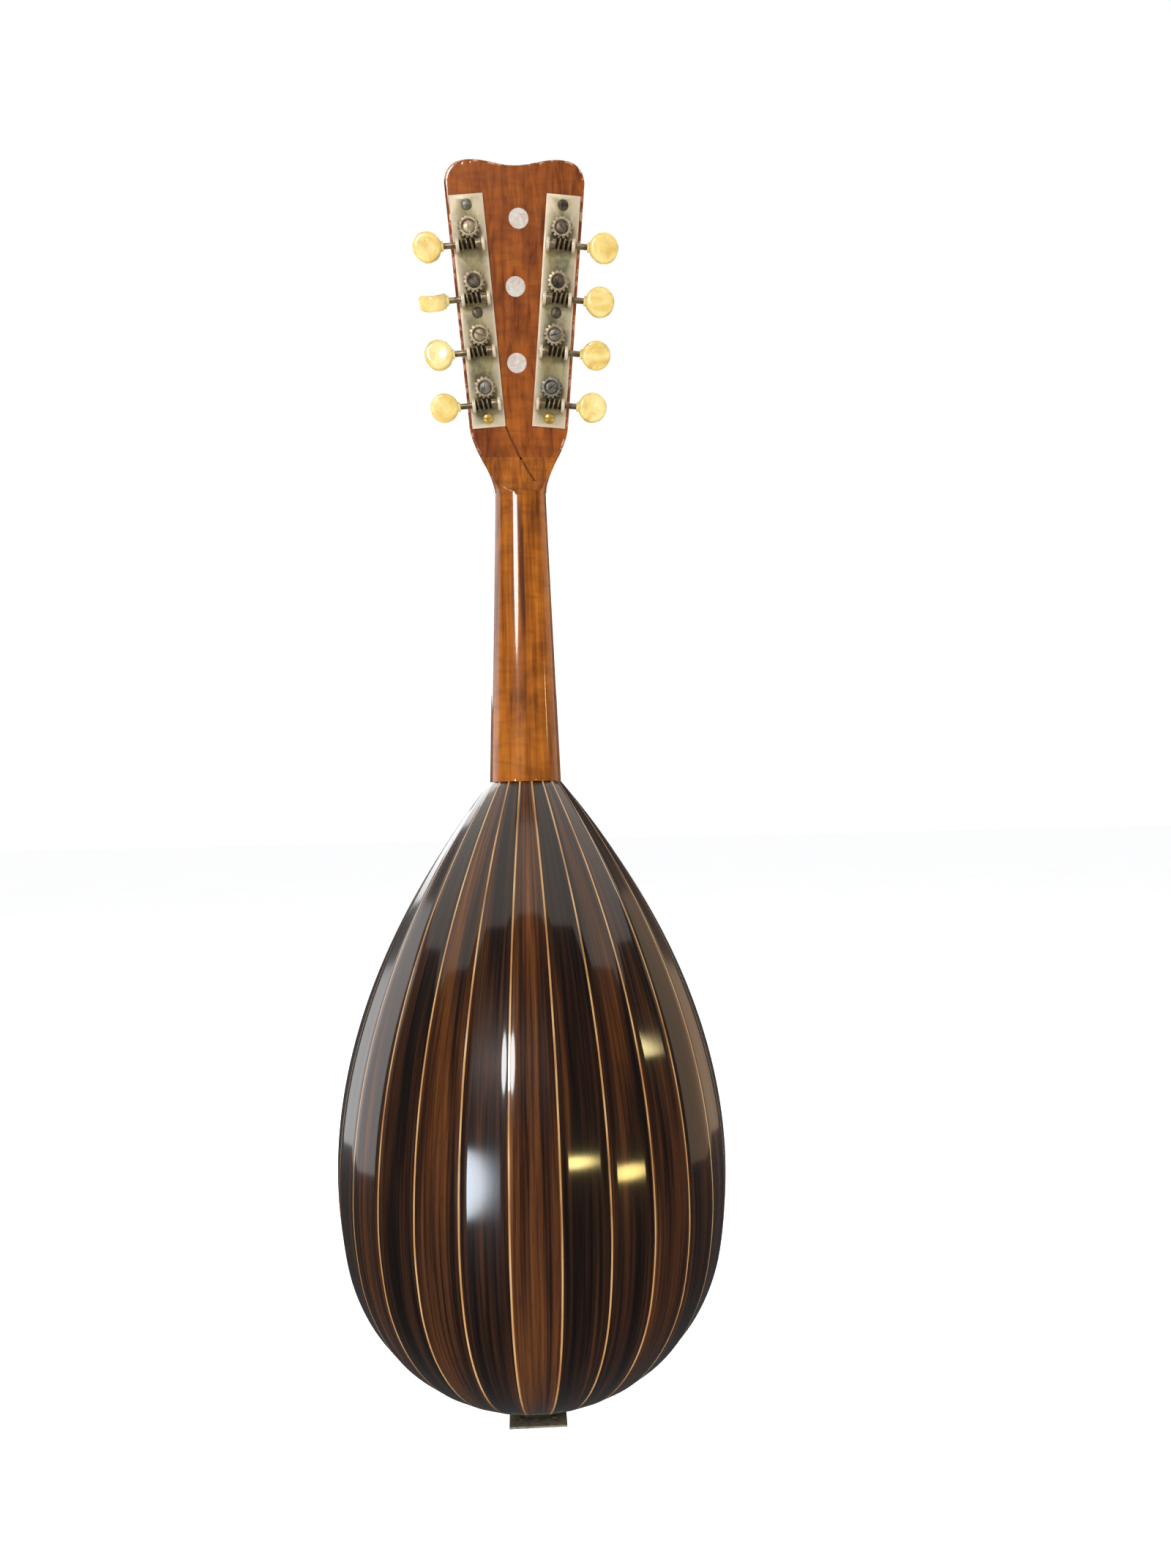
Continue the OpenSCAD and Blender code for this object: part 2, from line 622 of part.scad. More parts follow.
module plate_screws() color([0.55, 0.50, 0.36])
    for (right = [0, 1]) on_strip(right == 1) for (i = [0:2])
        translate([0, plate_t, screw_places[i]]) rotate([0, plate_screw_turns[right][i], 0]) difference() {
            union() {
                along_y(-screw_length, 0, screw_r);
                rotate([-90, 0, 0]) cylinder(h = screw_head_t, r1 = screw_head_r, r2 = screw_head_r - 0.7);
            }
            translate([-0.35, screw_head_t - 0.6, -5]) cube([0.7, 2, 10]);
            if (i == 2) translate([-5, screw_head_t - 0.6, -0.35]) cube([10, 2, 0.7]);
        }

// A shaft with one thread of the worm on it: a round bar that winds about the axis
module worm_shaft(n) color([0.45, 0.40, 0.28]) at_tuner(n)
    translate([0, worm_y, -centre_gap]) rotate([0, 90, 0]) {
        turns = (thread_to - thread_from) / tooth_pitch;
        translate([0, 0, -lug_out]) cylinder(h = lug_out + shaft_end, r = shaft_r);
        translate([0, 0, -thread_to]) cylinder(h = thread_to + thread_from, r = worm_r);
        translate([0, 0, thread_from])
            linear_extrude(height = thread_to - thread_from, twist = -360 * turns,
                           slices = ceil(thread_fn * turns), $fn = thread_fn)
                rotate(180 + 360 * thread_from / tooth_pitch) translate([worm_throw, 0]) circle(r = worm_r);
    }

module button(n) color([0.90, 0.80, 0.48]) at_tuner(n)
    translate([0, worm_y, -centre_gap]) rotate([button_turns[n - 1], 0, 0]) difference() {
        union() {
            translate([button_x, 0, 0]) rotate([90, 0, 0]) rotate_extrude() polygon(concat(
                [[0, -button_half]],
                [for (a = [-90:15:0]) [button_r - button_round + button_round * cos(a),
                                       -button_half + button_round + button_round * sin(a)]],
                [for (a = [0:15:90]) [button_r - button_round + button_round * cos(a),
                                      button_half - button_round + button_round * sin(a)]],
                [[0, button_half]]));
            translate([stem_from, 0, 0]) rotate([0, 90, 0]) cylinder(h = 5, r = stem_r);
        }
        translate([stem_from - 1, 0, 0]) rotate([0, 90, 0])
            cylinder(h = shaft_end - stem_from + 1, r = shaft_r);
    }

// A toothed wheel with a gap towards the worm, and the slotted screw that holds it
module gear_wheel(n) color([0.62, 0.56, 0.40]) at_tuner(n) {
    difference() {
        union() {
            along_y(0.1, gear_low, gear_root_r - 0.6);
            translate([0, gear_top, 0]) rotate([90, 0, 0]) linear_extrude(gear_t)
                polygon([for (i = [0:teeth - 1]) for (f = [[-0.17, 0], [0.17, 0], [0.36, 1], [0.64, 1]])
                    let (a = -90 + 360 / teeth * (i + f[0]), r = f[1] == 0 ? gear_root_r : gear_tip_r)
                    [r * cos(a), r * sin(a)]]);
        }
        along_y(-1, gear_top + 1, tenon_r);
        along_y(tenon_top, gear_top + 1, gear_screw_r + 0.2);
    }
    difference() {
        union() {
            along_y(tenon_top + seat_gap, tenon_top + gear_screw_t, gear_screw_r);
            along_y(0, tenon_top + seat_gap, gear_shank_r);
        }
        rotate([0, gear_slots[n - 1], 0]) translate([-0.3, tenon_top + 0.4, -5]) cube([0.6, 2, 10]);
    }
}

module string_post(n) color([0.70, 0.66, 0.52]) at_tuner(n) {
    face = -plate_t - headstock_t;
    difference() {
        union() {
            along_y(face - post_out + 0.6, 0.1, post_r);
            translate([0, face - post_out, 0]) rotate([-90, 0, 0])
                cylinder(h = 0.6, r1 = post_r - 0.6, r2 = post_r);
            along_y(0, tenon_top, tenon_r);
        }
        along_y(0, tenon_top + 1, gear_shank_r);
        translate([0, face - string_hole_h, 0]) rotate([0, 90, 0])
            cylinder(h = 20, r = string_hole_r, center = true);
    }
}

bowl_ribs();
rib_fillets();
tail_clasp();
rim_binding();
soundboard();
soundboard_braces();
top_linings();
neck_block();
tail_block();
neck();
headstock();
headstock_veneer();
fingerboard();
frets();
fingerboard_dots();
headstock_dots();
nut();
bridge();
bridge_saddle();
tailpiece();
tailpiece_screws();
pickguard();
rosette();
strings();
tuner_plate_left();
tuner_plate_right();
plate_screws();
post_bushings();
for (n = [1:8]) {
    worm_shaft(n);
    button(n);
    gear_wheel(n);
    string_post(n);
}
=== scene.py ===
import json
import math
import bpy
from mathutils import Matrix, Vector, noise

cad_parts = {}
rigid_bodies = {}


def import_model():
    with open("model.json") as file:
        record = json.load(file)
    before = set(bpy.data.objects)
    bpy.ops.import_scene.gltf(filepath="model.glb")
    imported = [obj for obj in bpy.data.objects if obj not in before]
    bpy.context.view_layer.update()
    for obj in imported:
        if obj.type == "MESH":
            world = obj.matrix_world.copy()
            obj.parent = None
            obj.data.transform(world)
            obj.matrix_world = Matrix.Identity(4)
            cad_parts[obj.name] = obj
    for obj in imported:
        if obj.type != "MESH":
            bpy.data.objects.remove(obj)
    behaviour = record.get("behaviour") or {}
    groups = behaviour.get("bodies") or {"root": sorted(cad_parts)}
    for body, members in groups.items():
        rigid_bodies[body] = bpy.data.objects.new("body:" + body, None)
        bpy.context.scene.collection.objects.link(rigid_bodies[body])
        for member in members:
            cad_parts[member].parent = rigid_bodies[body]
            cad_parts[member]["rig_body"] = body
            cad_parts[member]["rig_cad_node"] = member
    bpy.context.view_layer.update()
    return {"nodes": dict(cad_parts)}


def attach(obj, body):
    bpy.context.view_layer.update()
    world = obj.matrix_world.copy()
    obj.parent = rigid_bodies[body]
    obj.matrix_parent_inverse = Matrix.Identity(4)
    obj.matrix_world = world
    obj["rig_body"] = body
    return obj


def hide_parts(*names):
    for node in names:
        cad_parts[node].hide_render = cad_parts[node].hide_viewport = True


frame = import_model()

bpy.ops.object.select_all(action="DESELECT")

# ---------- camera ----------
# The instrument hangs upright at eye level. The camera stands an arm's length behind its
# back, a little below the neck joint, and sees about as wide as a phone's lens.
lens = bpy.data.cameras.new("camera")
lens.lens = 27.1
camera = bpy.data.objects.new("camera", lens)
camera.location = (0.0028, 0.6120, -0.1564)
camera.rotation_euler = [math.radians(turn) for turn in (90.927, 1.161, 176.854)]
bpy.context.scene.collection.objects.link(camera)
bpy.context.scene.camera = camera
bpy.context.scene.view_settings.view_transform = "Standard"

# ---------- floor and light ----------
# A plain white room: a pale floor well under the tail, a wide soft ceiling that stops over
# the camera, a soft wall behind at each side, and small lamps that put spots on the varnish.
def soft_light(name, place, target, size, watts, colour=(1, 1, 1)):
    lamp = bpy.data.lights.new(name, "AREA")
    lamp.shape = "RECTANGLE" if max(size) > 1 else "ELLIPSE"
    lamp.size, lamp.size_y = size
    lamp.energy = watts
    lamp.color = colour
    stand = bpy.data.objects.new(name, lamp)
    stand.location = place
    stand.rotation_euler = (Vector(target) - Vector(place)).to_track_quat("-Z", "Y").to_euler()
    bpy.context.scene.collection.objects.link(stand)

middle = (0, 0.05, -0.25)
soft_light("ceiling", (0, -0.50, 1.20), (0, -0.50, 0), (4.4, 2.4), 30, (1.0, 0.94, 0.86))
soft_light("left_wall", (1.55, -0.95, -0.05), middle, (1.2, 1.3), 6)
soft_light("right_wall", (-1.55, -0.95, -0.05), middle, (1.2, 1.3), 3, (1.0, 0.70, 0.45))
soft_light("behind", (0.3, -1.5, 0.7), (0, 0, -0.15), (1.4, 1.4), 14)
soft_light("camera_side", (0.5, 1.6, 0.5), middle, (0.5, 0.5), 12)
soft_light("window", (0.61, 1.15, -0.38), middle, (0.09, 0.34), 1.8, (0.80, 0.90, 1.0))
soft_light("near_lamp", (-0.58, 1.18, -0.295), middle, (0.05, 0.06), 0.35, (1.0, 0.80, 0.30))
soft_light("far_lamp", (-1.03, 0.78, -0.41), middle, (0.05, 0.07), 0.35, (1.0, 0.75, 0.25))
soft_light("side_lamp", (-1.20, 0.17, 0.06), middle, (0.04, 0.12), 0.30, (1.0, 0.82, 0.40))

white_room = bpy.data.worlds.new("white_room")
white_room.use_nodes = True
bpy.context.scene.world = white_room
room = white_room.node_tree
room.nodes.clear()
seen = room.nodes.new("ShaderNodeLightPath")
shine = room.nodes.new("ShaderNodeBackground")
shine.inputs["Color"].default_value = (0.97, 0.98, 1.0, 1)
level = 0.06
for ray, gain in (("Is Camera Ray", 1.05), ("Is Diffuse Ray", 0.42)):
    more = room.nodes.new("ShaderNodeMath")
    more.operation = "MULTIPLY_ADD"
    room.links.new(seen.outputs[ray], more.inputs[0])
    more.inputs[1].default_value = gain
    if isinstance(level, float):
        more.inputs[2].default_value = level
    else:
        room.links.new(level, more.inputs[2])
    level = more.outputs[0]
room.links.new(level, shine.inputs["Strength"])
room.links.new(shine.outputs[0], room.nodes.new("ShaderNodeOutputWorld").inputs["Surface"])

def new_material(name, **uniform):
    """A material whose shader has these values, such as roughness=0.3 or coat_weight=1."""
    made = bpy.data.materials.new(name)
    made.use_nodes = True
    shader = made.node_tree.nodes["Principled BSDF"]
    for key, value in uniform.items():
        shader.inputs[key.replace("_", " ").title().replace("Ior", "IOR")].default_value = value
    return made

def add_node(material, kind, inputs, **settings):
    """Adds a node, with numbers or other nodes' sockets on its inputs, and returns it."""
    made = material.node_tree.nodes.new("ShaderNode" + kind)
    for key, value in settings.items():
        setattr(made, key, value)
    for key, value in inputs.items():
        if isinstance(value, bpy.types.NodeSocket):
            material.node_tree.links.new(value, made.inputs[key])
        else:
            made.inputs[key].default_value = value
    return made

def surface(material, **sockets):
    """Links sockets to the shader, such as base_color=... or roughness=..."""
    shader = material.node_tree.nodes["Principled BSDF"]
    for key, socket in sockets.items():
        material.node_tree.links.new(socket, shader.inputs[key.replace("_", " ").title()])

def speckle(material, vector, scale, stretch=(1, 1, 1), detail=3.0, roughness=0.55, distortion=0.0):
    """Noise from 0 to 1 on a vector, stretched by a factor along each axis."""
    placed = add_node(material, "Mapping", {"Vector": vector, "Scale": stretch})
    return add_node(material, "TexNoise", {
        "Vector": placed.outputs[0], "Scale": scale, "Detail": detail,
        "Roughness": roughness, "Distortion": distortion}).outputs[0]

def stops(material, factor, *colours):
    """A colour ramp: each stop is (place, (red, green, blue))."""
    made = add_node(material, "ValToRGB", {"Fac": factor})
    ramp = made.color_ramp
    while len(ramp.elements) < len(colours):
        ramp.elements.new(0.5)
    for element, (place, colour) in zip(ramp.elements, colours):
        element.position = place
        element.color = (*colour, 1)
    return made.outputs[0]

def blend(material, factor, first, second, how="MIX"):
    """Mixes two colours: factor, first and second are sockets or plain values."""
    made = add_node(material, "Mix", {}, data_type="RGBA", blend_type=how)
    for place, value in ((0, factor), (6, first), (7, second)):
        if isinstance(value, bpy.types.NodeSocket):
            material.node_tree.links.new(value, made.inputs[place])
        else:
            made.inputs[place].default_value = value if place == 0 else (*value, 1)
    return made.outputs[2]

def between(material, value, low, high, to_low=0.0, to_high=1.0):
    """Maps value from low..high to to_low..to_high, and keeps it there."""
    return add_node(material, "MapRange", {
        "Value": value, "From Min": low, "From Max": high, "To Min": to_low, "To Max": to_high}).outputs[0]

def times(material, first, second, how="MULTIPLY"):
    made = add_node(material, "Math", {0: first, 1: second}, operation=how)
    return made.outputs[0]

def relief(material, height, strength, distance=0.0005):
    """Roughens the surface by a height, in metres at most distance."""
    made = add_node(material, "Bump", {"Height": height, "Strength": strength, "Distance": distance})
    surface(material, normal=made.outputs[0])
    return made.outputs[0]

def object_place(material):
    return add_node(material, "TexCoord", {}).outputs["Object"]

def deselect():
    bpy.ops.object.select_all(action="DESELECT")

def only(piece):
    deselect()
    piece.select_set(True)
    bpy.context.view_layer.objects.active = piece

floor_paint = new_material("floor_paint", roughness=0.9, specular_ior_level=0.1,
                           emission_color=(1, 1, 1, 1), emission_strength=0.55)
grey = speckle(floor_paint, object_place(floor_paint), 3.0)
surface(floor_paint, base_color=stops(floor_paint, grey, (0.3, (0.93, 0.93, 0.93)),
                                      (0.7, (0.97, 0.97, 0.97))))
bpy.ops.mesh.primitive_plane_add(size=30, location=(0, 0, -0.62))
bpy.ops.object.transform_apply(location=True)
floor = bpy.context.object
floor.name = "floor"
floor.visible_glossy = False
floor.data.materials.append(floor_paint)

# ---------- bowl ribs ----------
# Thirteen narrow ribs and two wide side bands of rosewood, each bent over a mould and glued
# edge to edge with a thin light line between, then scraped flush and varnished to a gloss.
MM = 0.001
JOINT_Z = -330 * (1 - 2 ** (-10 / 12))
BEND = 330 + JOINT_Z + 6
CANT = math.radians(8)
BOARD = 2.5
LINE = 0.8

def rise(u, early, blunt=1.0):
    return (1 - (1 - min(max(u, 0), 1)) ** early) ** blunt

def half_width(s):
    if s < 186:
        return 18.3 + (94 - 18.3) * rise(s / 186, 1.94)
    return 94 * rise((310 - s) / 124, 2.13, 0.56)

def depth(s):
    if s < 222:
        return 21.7 + (125 - 21.7) * rise(s / 222, 2.55)
    return 125 * rise((310 - s) / 88, 1.68, 0.57)

def rib_pitch(s):
    if s < 191:
        return 5.8 + (21.6 - 5.8) * rise(s / 191, 2.05)
    return 21.6 * rise((310 - s) / 119, 1.86, 0.58)

def front(s):
    return max(s - BEND, 0) * math.tan(CANT)

def section(w, d, u):
    """The point at distance u from the middle of a round back w wide to each side and d deep."""
    b = min(w, d)
    r = (w + b) / 2
    a = min(abs(u) / r, math.pi / 2)
    past = max(abs(u) - r * math.pi / 2, 0)
    return math.copysign(w * math.sin(a), u), d - b + b * math.cos(a) - past

def skin(s, u):
    x, y = section(half_width(s), depth(s), u)
    return Vector((x, y, JOINT_Z - s))

def reach(s, y):
    """How far from the middle of the back the bowl comes down to the depth y."""
    w, d = half_width(s), depth(s)
    b = min(w, d)
    if y <= d - b:
        return (w + b) / 2 * math.pi / 2 + d - b - y
    return (w + b) / 2 * math.acos(min((y - d + b) / b, 1))

def along_bowl(b):
    """Distance below the joint at the fraction b of the bowl's length, closer at the tail."""
    return 186 * b / 0.6 if b < 0.6 else 186 + 123 * math.sin(math.pi / 2 * (b - 0.6) / 0.4)

def shaped_grid(name, across, along, place):
    """A grid whose vertex at the fractions (a, b) moves to place(a, b), in millimetres."""
    deselect()
    bpy.ops.mesh.primitive_grid_add(x_subdivisions=across, y_subdivisions=along, size=2)
    piece = bpy.context.object
    piece.name = piece.data.name = name
    for v in piece.data.vertices:
        v.co = Vector(place((v.co.x + 1) / 2, (v.co.y + 1) / 2)) * MM
    return piece

def measured_uv(piece, wide, long, offset=0.0):
    """Makes the grid's UV map count metres along and across the piece."""
    for loop in piece.data.uv_layers[0].data:
        loop.uv = (loop.uv.y * long * MM, (offset + loop.uv.x * wide) * MM)

def painted(piece, attribute, value):
    """Writes one number on every vertex, for the material to read."""
    layer = piece.data.attributes.new(attribute, "FLOAT", "POINT")
    layer.data.foreach_set("value", [value] * len(piece.data.vertices))

def joined(pieces, name):
    deselect()
    for piece in pieces:
        piece.select_set(True)
    bpy.context.view_layer.objects.active = pieces[0]
    bpy.ops.object.join()
    pieces[0].name = pieces[0].data.name = name
    return pieces[0]

def trimmed_behind(piece, gap):
    """Cuts away what stands in front of the soundboard's back, above and below its bend."""
    only(piece)
    bpy.ops.object.mode_set(mode="EDIT")
    for place, normal in (((0, gap * MM, 0), (0, -1, 0)),
                          ((0, gap / math.cos(CANT) * MM, (JOINT_Z - BEND) * MM),
                           (0, -math.cos(CANT), -math.sin(CANT)))):
        bpy.ops.mesh.select_all(action="SELECT")
        bpy.ops.mesh.bisect(plane_co=place, plane_no=normal, clear_outer=True)
    bpy.ops.object.mode_set(mode="OBJECT")

def finished(piece, modifiers, smooth=None):
    """Applies modifiers, each given as (kind, settings), and shades the piece."""
    only(piece)
    for kind, settings in modifiers:
        made = piece.modifiers.new(kind.lower(), kind)
        for key, value in settings.items():
            setattr(made, key, value)
        bpy.ops.object.modifier_apply(modifier=made.name)
    if smooth is not None:
        bpy.ops.object.shade_smooth_by_angle(angle=math.radians(smooth))
    deselect()
    return piece

def rib(k, low, high, tone, across):
    """One rib between the distances low(s) and high(s) from the middle, flat across."""
    def place(a, b):
        s = along_bowl(b)
        return skin(s, low(s)).lerp(skin(s, high(s)), a) if across < 8 else \
            skin(s, low(s) + a * (high(s) - low(s)))
    piece = shaped_grid(f"rib_{k}", across, 110, place)
    measured_uv(piece, 22 if across < 8 else 90, 360, 200 * k)
    painted(piece, "tone", tone)
    return piece

rib_tones = [0.30, 0.42, 0.18, 0.50, 0.34, 0.12, 0.95, 0.28, 0.62, 0.22, 0.46, 0.15, 0.38]
staves = [rib(k, lambda s, k=k: (k - 6.5) * rib_pitch(s) + LINE / 2,
              lambda s, k=k: (k - 5.5) * rib_pitch(s) - LINE / 2, rib_tones[k], 6) for k in range(13)]
for side, k in ((-1, 20), (1, 21)):
    near = lambda s: 6.5 * rib_pitch(s) + LINE / 2
    far = lambda s: max(reach(s, front(s)) + 1, near(s) + 0.2)
    staves.append(rib(k, (lambda s: -far(s)) if side < 0 else near,
                      (lambda s: -near(s)) if side < 0 else far, 0.35, 16))
ribs = joined(staves, "ribs")
trimmed_behind(ribs, BOARD)
finished(ribs, [("SOLIDIFY", {"thickness": 2 * MM, "offset": -1}),
                ("BEVEL", {"width": 0.16 * MM, "segments": 2, "limit_method": "ANGLE",
                           "angle_limit": math.radians(60)})], 40)

rosewood = new_material("varnished_rosewood", roughness=0.28, coat_weight=1.0, coat_roughness=0.085,
                        coat_ior=1.5, specular_ior_level=0.15)
flat_wood = add_node(rosewood, "UVMap", {}, uv_map="UVMap").outputs[0]
tone = add_node(rosewood, "Attribute", {}, attribute_name="tone").outputs["Fac"]
streaks = speckle(rosewood, flat_wood, 1.0, (9, 520, 1), 6.0, 0.62, 0.3)
bands = speckle(rosewood, flat_wood, 1.0, (5, 120, 1), 3.0, 0.5, 0.4)
pores = speckle(rosewood, flat_wood, 1.0, (120, 2600, 1), 2.0, 0.5)
grain = times(rosewood, times(rosewood, streaks, 0.62), times(rosewood, bands, 0.38), "ADD")
dark_rib = stops(rosewood, grain, (0.36, (0.002, 0.001, 0.001)), (0.47, (0.007, 0.003, 0.002)),
                 (0.57, (0.024, 0.008, 0.003)), (0.70, (0.070, 0.022, 0.005)))
warm_rib = stops(rosewood, grain, (0.34, (0.006, 0.002, 0.001)), (0.46, (0.030, 0.009, 0.003)),
                 (0.58, (0.110, 0.034, 0.006)), (0.72, (0.230, 0.080, 0.012)))
warmth = between(rosewood, times(rosewood, tone, times(rosewood, bands, 0.9), "ADD"), 0.62, 1.45)
wood_colour = blend(rosewood, warmth, dark_rib, warm_rib)
wood_colour = blend(rosewood, between(rosewood, pores, 0.60, 0.72, 0, 0.7), wood_colour,
                    (0.006, 0.003, 0.002))
surface(rosewood, base_color=wood_colour, roughness=between(rosewood, streaks, 0.3, 0.7, 0.22, 0.38))
varnish = speckle(rosewood, object_place(rosewood), 38.0, detail=2.0)
relief(rosewood, times(rosewood, times(rosewood, varnish, 1.0), times(rosewood, pores, 0.05), "ADD"), 0.10)
ribs.data.materials.append(rosewood)
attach(ribs, "body")
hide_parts("bowl_ribs")

# ---------- light lines ----------
# Fourteen strips of light wood, a millimetre wide, glued between the ribs and scraped
# flush with them. Varnish has turned them from cream to orange in places.
strips = []
for k in range(14):
    def strip(a, b, k=k):
        s = along_bowl(b)
        return skin(s, (k - 6.5) * rib_pitch(s) + (a - 0.5) * LINE)
    strips.append(shaped_grid(f"line_{k}", 2, 110, strip))
    measured_uv(strips[-1], 1, 360, 30 * k)
light_lines = joined(strips, "light_lines")
trimmed_behind(light_lines, BOARD)
finished(light_lines, [("SOLIDIFY", {"thickness": 1.9 * MM, "offset": -1})], 40)
light_wood = new_material("light_wood", roughness=0.25, coat_weight=1.0, coat_roughness=0.04)
strip_place = add_node(light_wood, "UVMap", {}, uv_map="UVMap").outputs[0]
stain = speckle(light_wood, strip_place, 1.0, (28, 300, 1), 4.0)
surface(light_wood, base_color=stops(light_wood, stain, (0.30, (0.26, 0.09, 0.025)),
                                     (0.48, (0.48, 0.24, 0.08)), (0.66, (0.62, 0.40, 0.18))))
relief(light_wood, stain, 0.08)
light_lines.data.materials.append(light_wood)
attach(light_lines, "body")
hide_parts("rib_fillets")

# ---------- tail band ----------
# A band of rosewood veneer, bent around the tail over the ends of the ribs and glued, with
# its upper edge cut in a shallow bow.
def end_at(y):
    return 310 - 88 * (1 - (1 - (y / 125) ** (1 / 0.57)) ** (1 / 1.68))

def band_point(y, turn, out):
    def rim_at(a):
        s = end_at(y) - 58 * (1 - math.cos(a))
        w, d = half_width(s), depth(s)
        b = min(w, d)
        x = w if y <= d - b else w * math.sqrt(max(1 - ((y - d + b) / b) ** 2, 0))
        return Vector((math.copysign(x, a), JOINT_Z - s))
    p, q = rim_at(turn), rim_at(turn + 0.01)
    n = Vector((q.y - p.y, p.x - q.x)).normalized()
    return p.x + out * n.x, y, p.y + out * n.y

def band_place(a, b):
    turn = math.radians(168 * a - 84)
    return band_point(4.5 + (15 + 14 * math.cos(turn)) * b, turn, 1.4)
band = shaped_grid("tail_band", 64, 8, band_place)
measured_uv(band, 36, 180, 4000)
painted(band, "tone", 0.30)
trimmed_behind(band, BOARD + 0.2)
finished(band, [("SOLIDIFY", {"thickness": 0.9 * MM, "offset": 0.9}),
                ("BEVEL", {"width": 0.3 * MM, "segments": 2, "limit_method": "ANGLE",
                           "angle_limit": math.radians(60)})], 40)
band.data.materials.append(rosewood)
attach(band, "body")
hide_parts("tail_clasp")

# ---------- neck ----------
# One piece of maple, carved round-backed, stained amber and varnished. At the nut it swells
# into the headstock, whose flat back cuts the round one off in a shallow V.
TILT, LEAN = math.radians(11), math.radians(4.7)
HEAD_T, NUT_T = 15.0, 5.0
NECK_UP = 17.0

def head_half(s):
    return 22.2 + math.tan(LEAN) * s - (4.3 * (1 + math.cos(math.pi * s / 32)) if s < 32 else 0)

def on_head(x, h, s):
    """A point of the headstock: h behind its front face, s above the nut."""
    return Vector((x, h * math.cos(TILT) + s * math.sin(TILT),
                   NUT_T + s * math.cos(TILT) - h * math.sin(TILT)))

def tube(name, around, along, ring):
    """A closed grid: ring(a, b) goes once round as a runs from 0 to 1, with both ends filled."""
    piece = shaped_grid(name, around, along, ring)
    only(piece)
    bpy.ops.object.mode_set(mode="EDIT")
    bpy.ops.mesh.select_all(action="SELECT")
    bpy.ops.mesh.remove_doubles(threshold=0.000002)
    bpy.ops.mesh.select_all(action="DESELECT")
    bpy.ops.mesh.select_non_manifold(extend=False)
    bpy.ops.mesh.fill_holes(sides=0)
    bpy.ops.mesh.select_all(action="SELECT")
    bpy.ops.mesh.normals_make_consistent(inside=False)
    bpy.ops.object.mode_set(mode="OBJECT")
    return piece

def carved(w, d, low, full, turn, cut):
    """A point of a carved back at the angle turn, from -90 to 90 degrees, cut flat at cut."""
    x = w * math.copysign(abs(math.sin(turn)) ** (2 / full), turn)
    return x, min(low + (d - low) * abs(math.cos(turn)) ** (2 / full), cut)

def neck_ring(a, b):
    turn, across = math.pi * (a / 0.86 - 0.5), 1 - 2 * (a - 0.86) / 0.14
    if b < 0.7:
        z = JOINT_Z * (1 - b / 0.7)
        w, d = 13.5 + 4.8 * z / JOINT_Z, 16.4 + 5.3 * z / JOINT_Z
        x, y = carved(w, d, 0, 2.3, turn, 99) if a < 0.86 else (w * across, 0)
        return x, y, z + (NUT_T - y * math.tan(TILT)) * rise(b / 0.7, 1) ** 8
    s = NECK_UP * (b - 0.7) / 0.3
    grown = (s / NECK_UP) ** 1.2
    w = head_half(s) - 0.1 * (1 - s / NECK_UP)
    x, h = carved(w, 16.4 / math.cos(TILT) + 1.2 * grown, 1.5 * min(s, 1), 2.3 + 16 * grown ** 1.5, turn,
                  HEAD_T + 1.7 * max(1 - s / 4, 0) ** 2) if a < 0.86 else (w * across, 1.5 * min(s, 1))
    return on_head(x, h, s)

neck = tube("neck_wood", 112, 120, neck_ring)
finished(neck, [("BEVEL", {"width": 0.35 * MM, "segments": 2, "limit_method": "ANGLE",
                           "angle_limit": math.radians(50)})], 28)

def amber_wood(name, light, middle_tone, dark, scale=1.0):
    """Varnished maple or walnut with streaks along Z, worn pale along exposed edges."""
    made = new_material(name, roughness=0.3, coat_weight=1.0, coat_roughness=0.07, coat_ior=1.5,
                        specular_ior_level=0.15)
    place = object_place(made)
    streaks = speckle(made, place, 1.0, (420 * scale, 300 * scale, 11), 5.0, 0.6, 0.5)
    figure = speckle(made, place, 1.0, (70, 60, 16), 3.0, 0.5, 1.2)
    flame = speckle(made, place, 1.0, (60, 60, 240), 2.0, 0.5, 0.8)
    grain = times(made, times(made, streaks, 0.5), times(made, figure, 0.5), "ADD")
    colour = stops(made, grain, (0.36, dark), (0.50, middle_tone), (0.66, light))
    colour = blend(made, between(made, flame, 0.42, 0.7, 0, 0.35), colour, dark)
    edge = add_node(made, "Attribute", {}, attribute_name="worn").outputs["Fac"]
    chips = between(made, times(made, edge, speckle(made, place, 260.0, detail=5.0)), 0.52, 0.56)
    colour = blend(made, chips, colour, (0.42, 0.20, 0.12))
    surface(made, base_color=colour, roughness=between(made, streaks, 0.3, 0.7, 0.24, 0.42))
    scratches = speckle(made, place, 1.0, (900, 900, 90), 2.0, 0.5)
    ripple = speckle(made, place, 55.0, detail=2.0)
    relief(made, times(made, times(made, ripple, 1.0), times(made, scratches, 0.06), "ADD"), 0.10)
    return made

neck_wood = amber_wood("neck_wood", (0.470, 0.150, 0.012), (0.290, 0.080, 0.007), (0.085, 0.022, 0.004))
painted(neck, "worn", 0.0)
neck.data.materials.append(neck_wood)
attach(neck, "body")
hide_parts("neck")

# ---------- headstock ----------
# A flat board in one line with the neck, leaning back from the nut and widening upwards, with
# rounded corners and a dip between two lobes. Its edges are chipped through the varnish.
LENGTH, CORNER = 157.0, 10.0

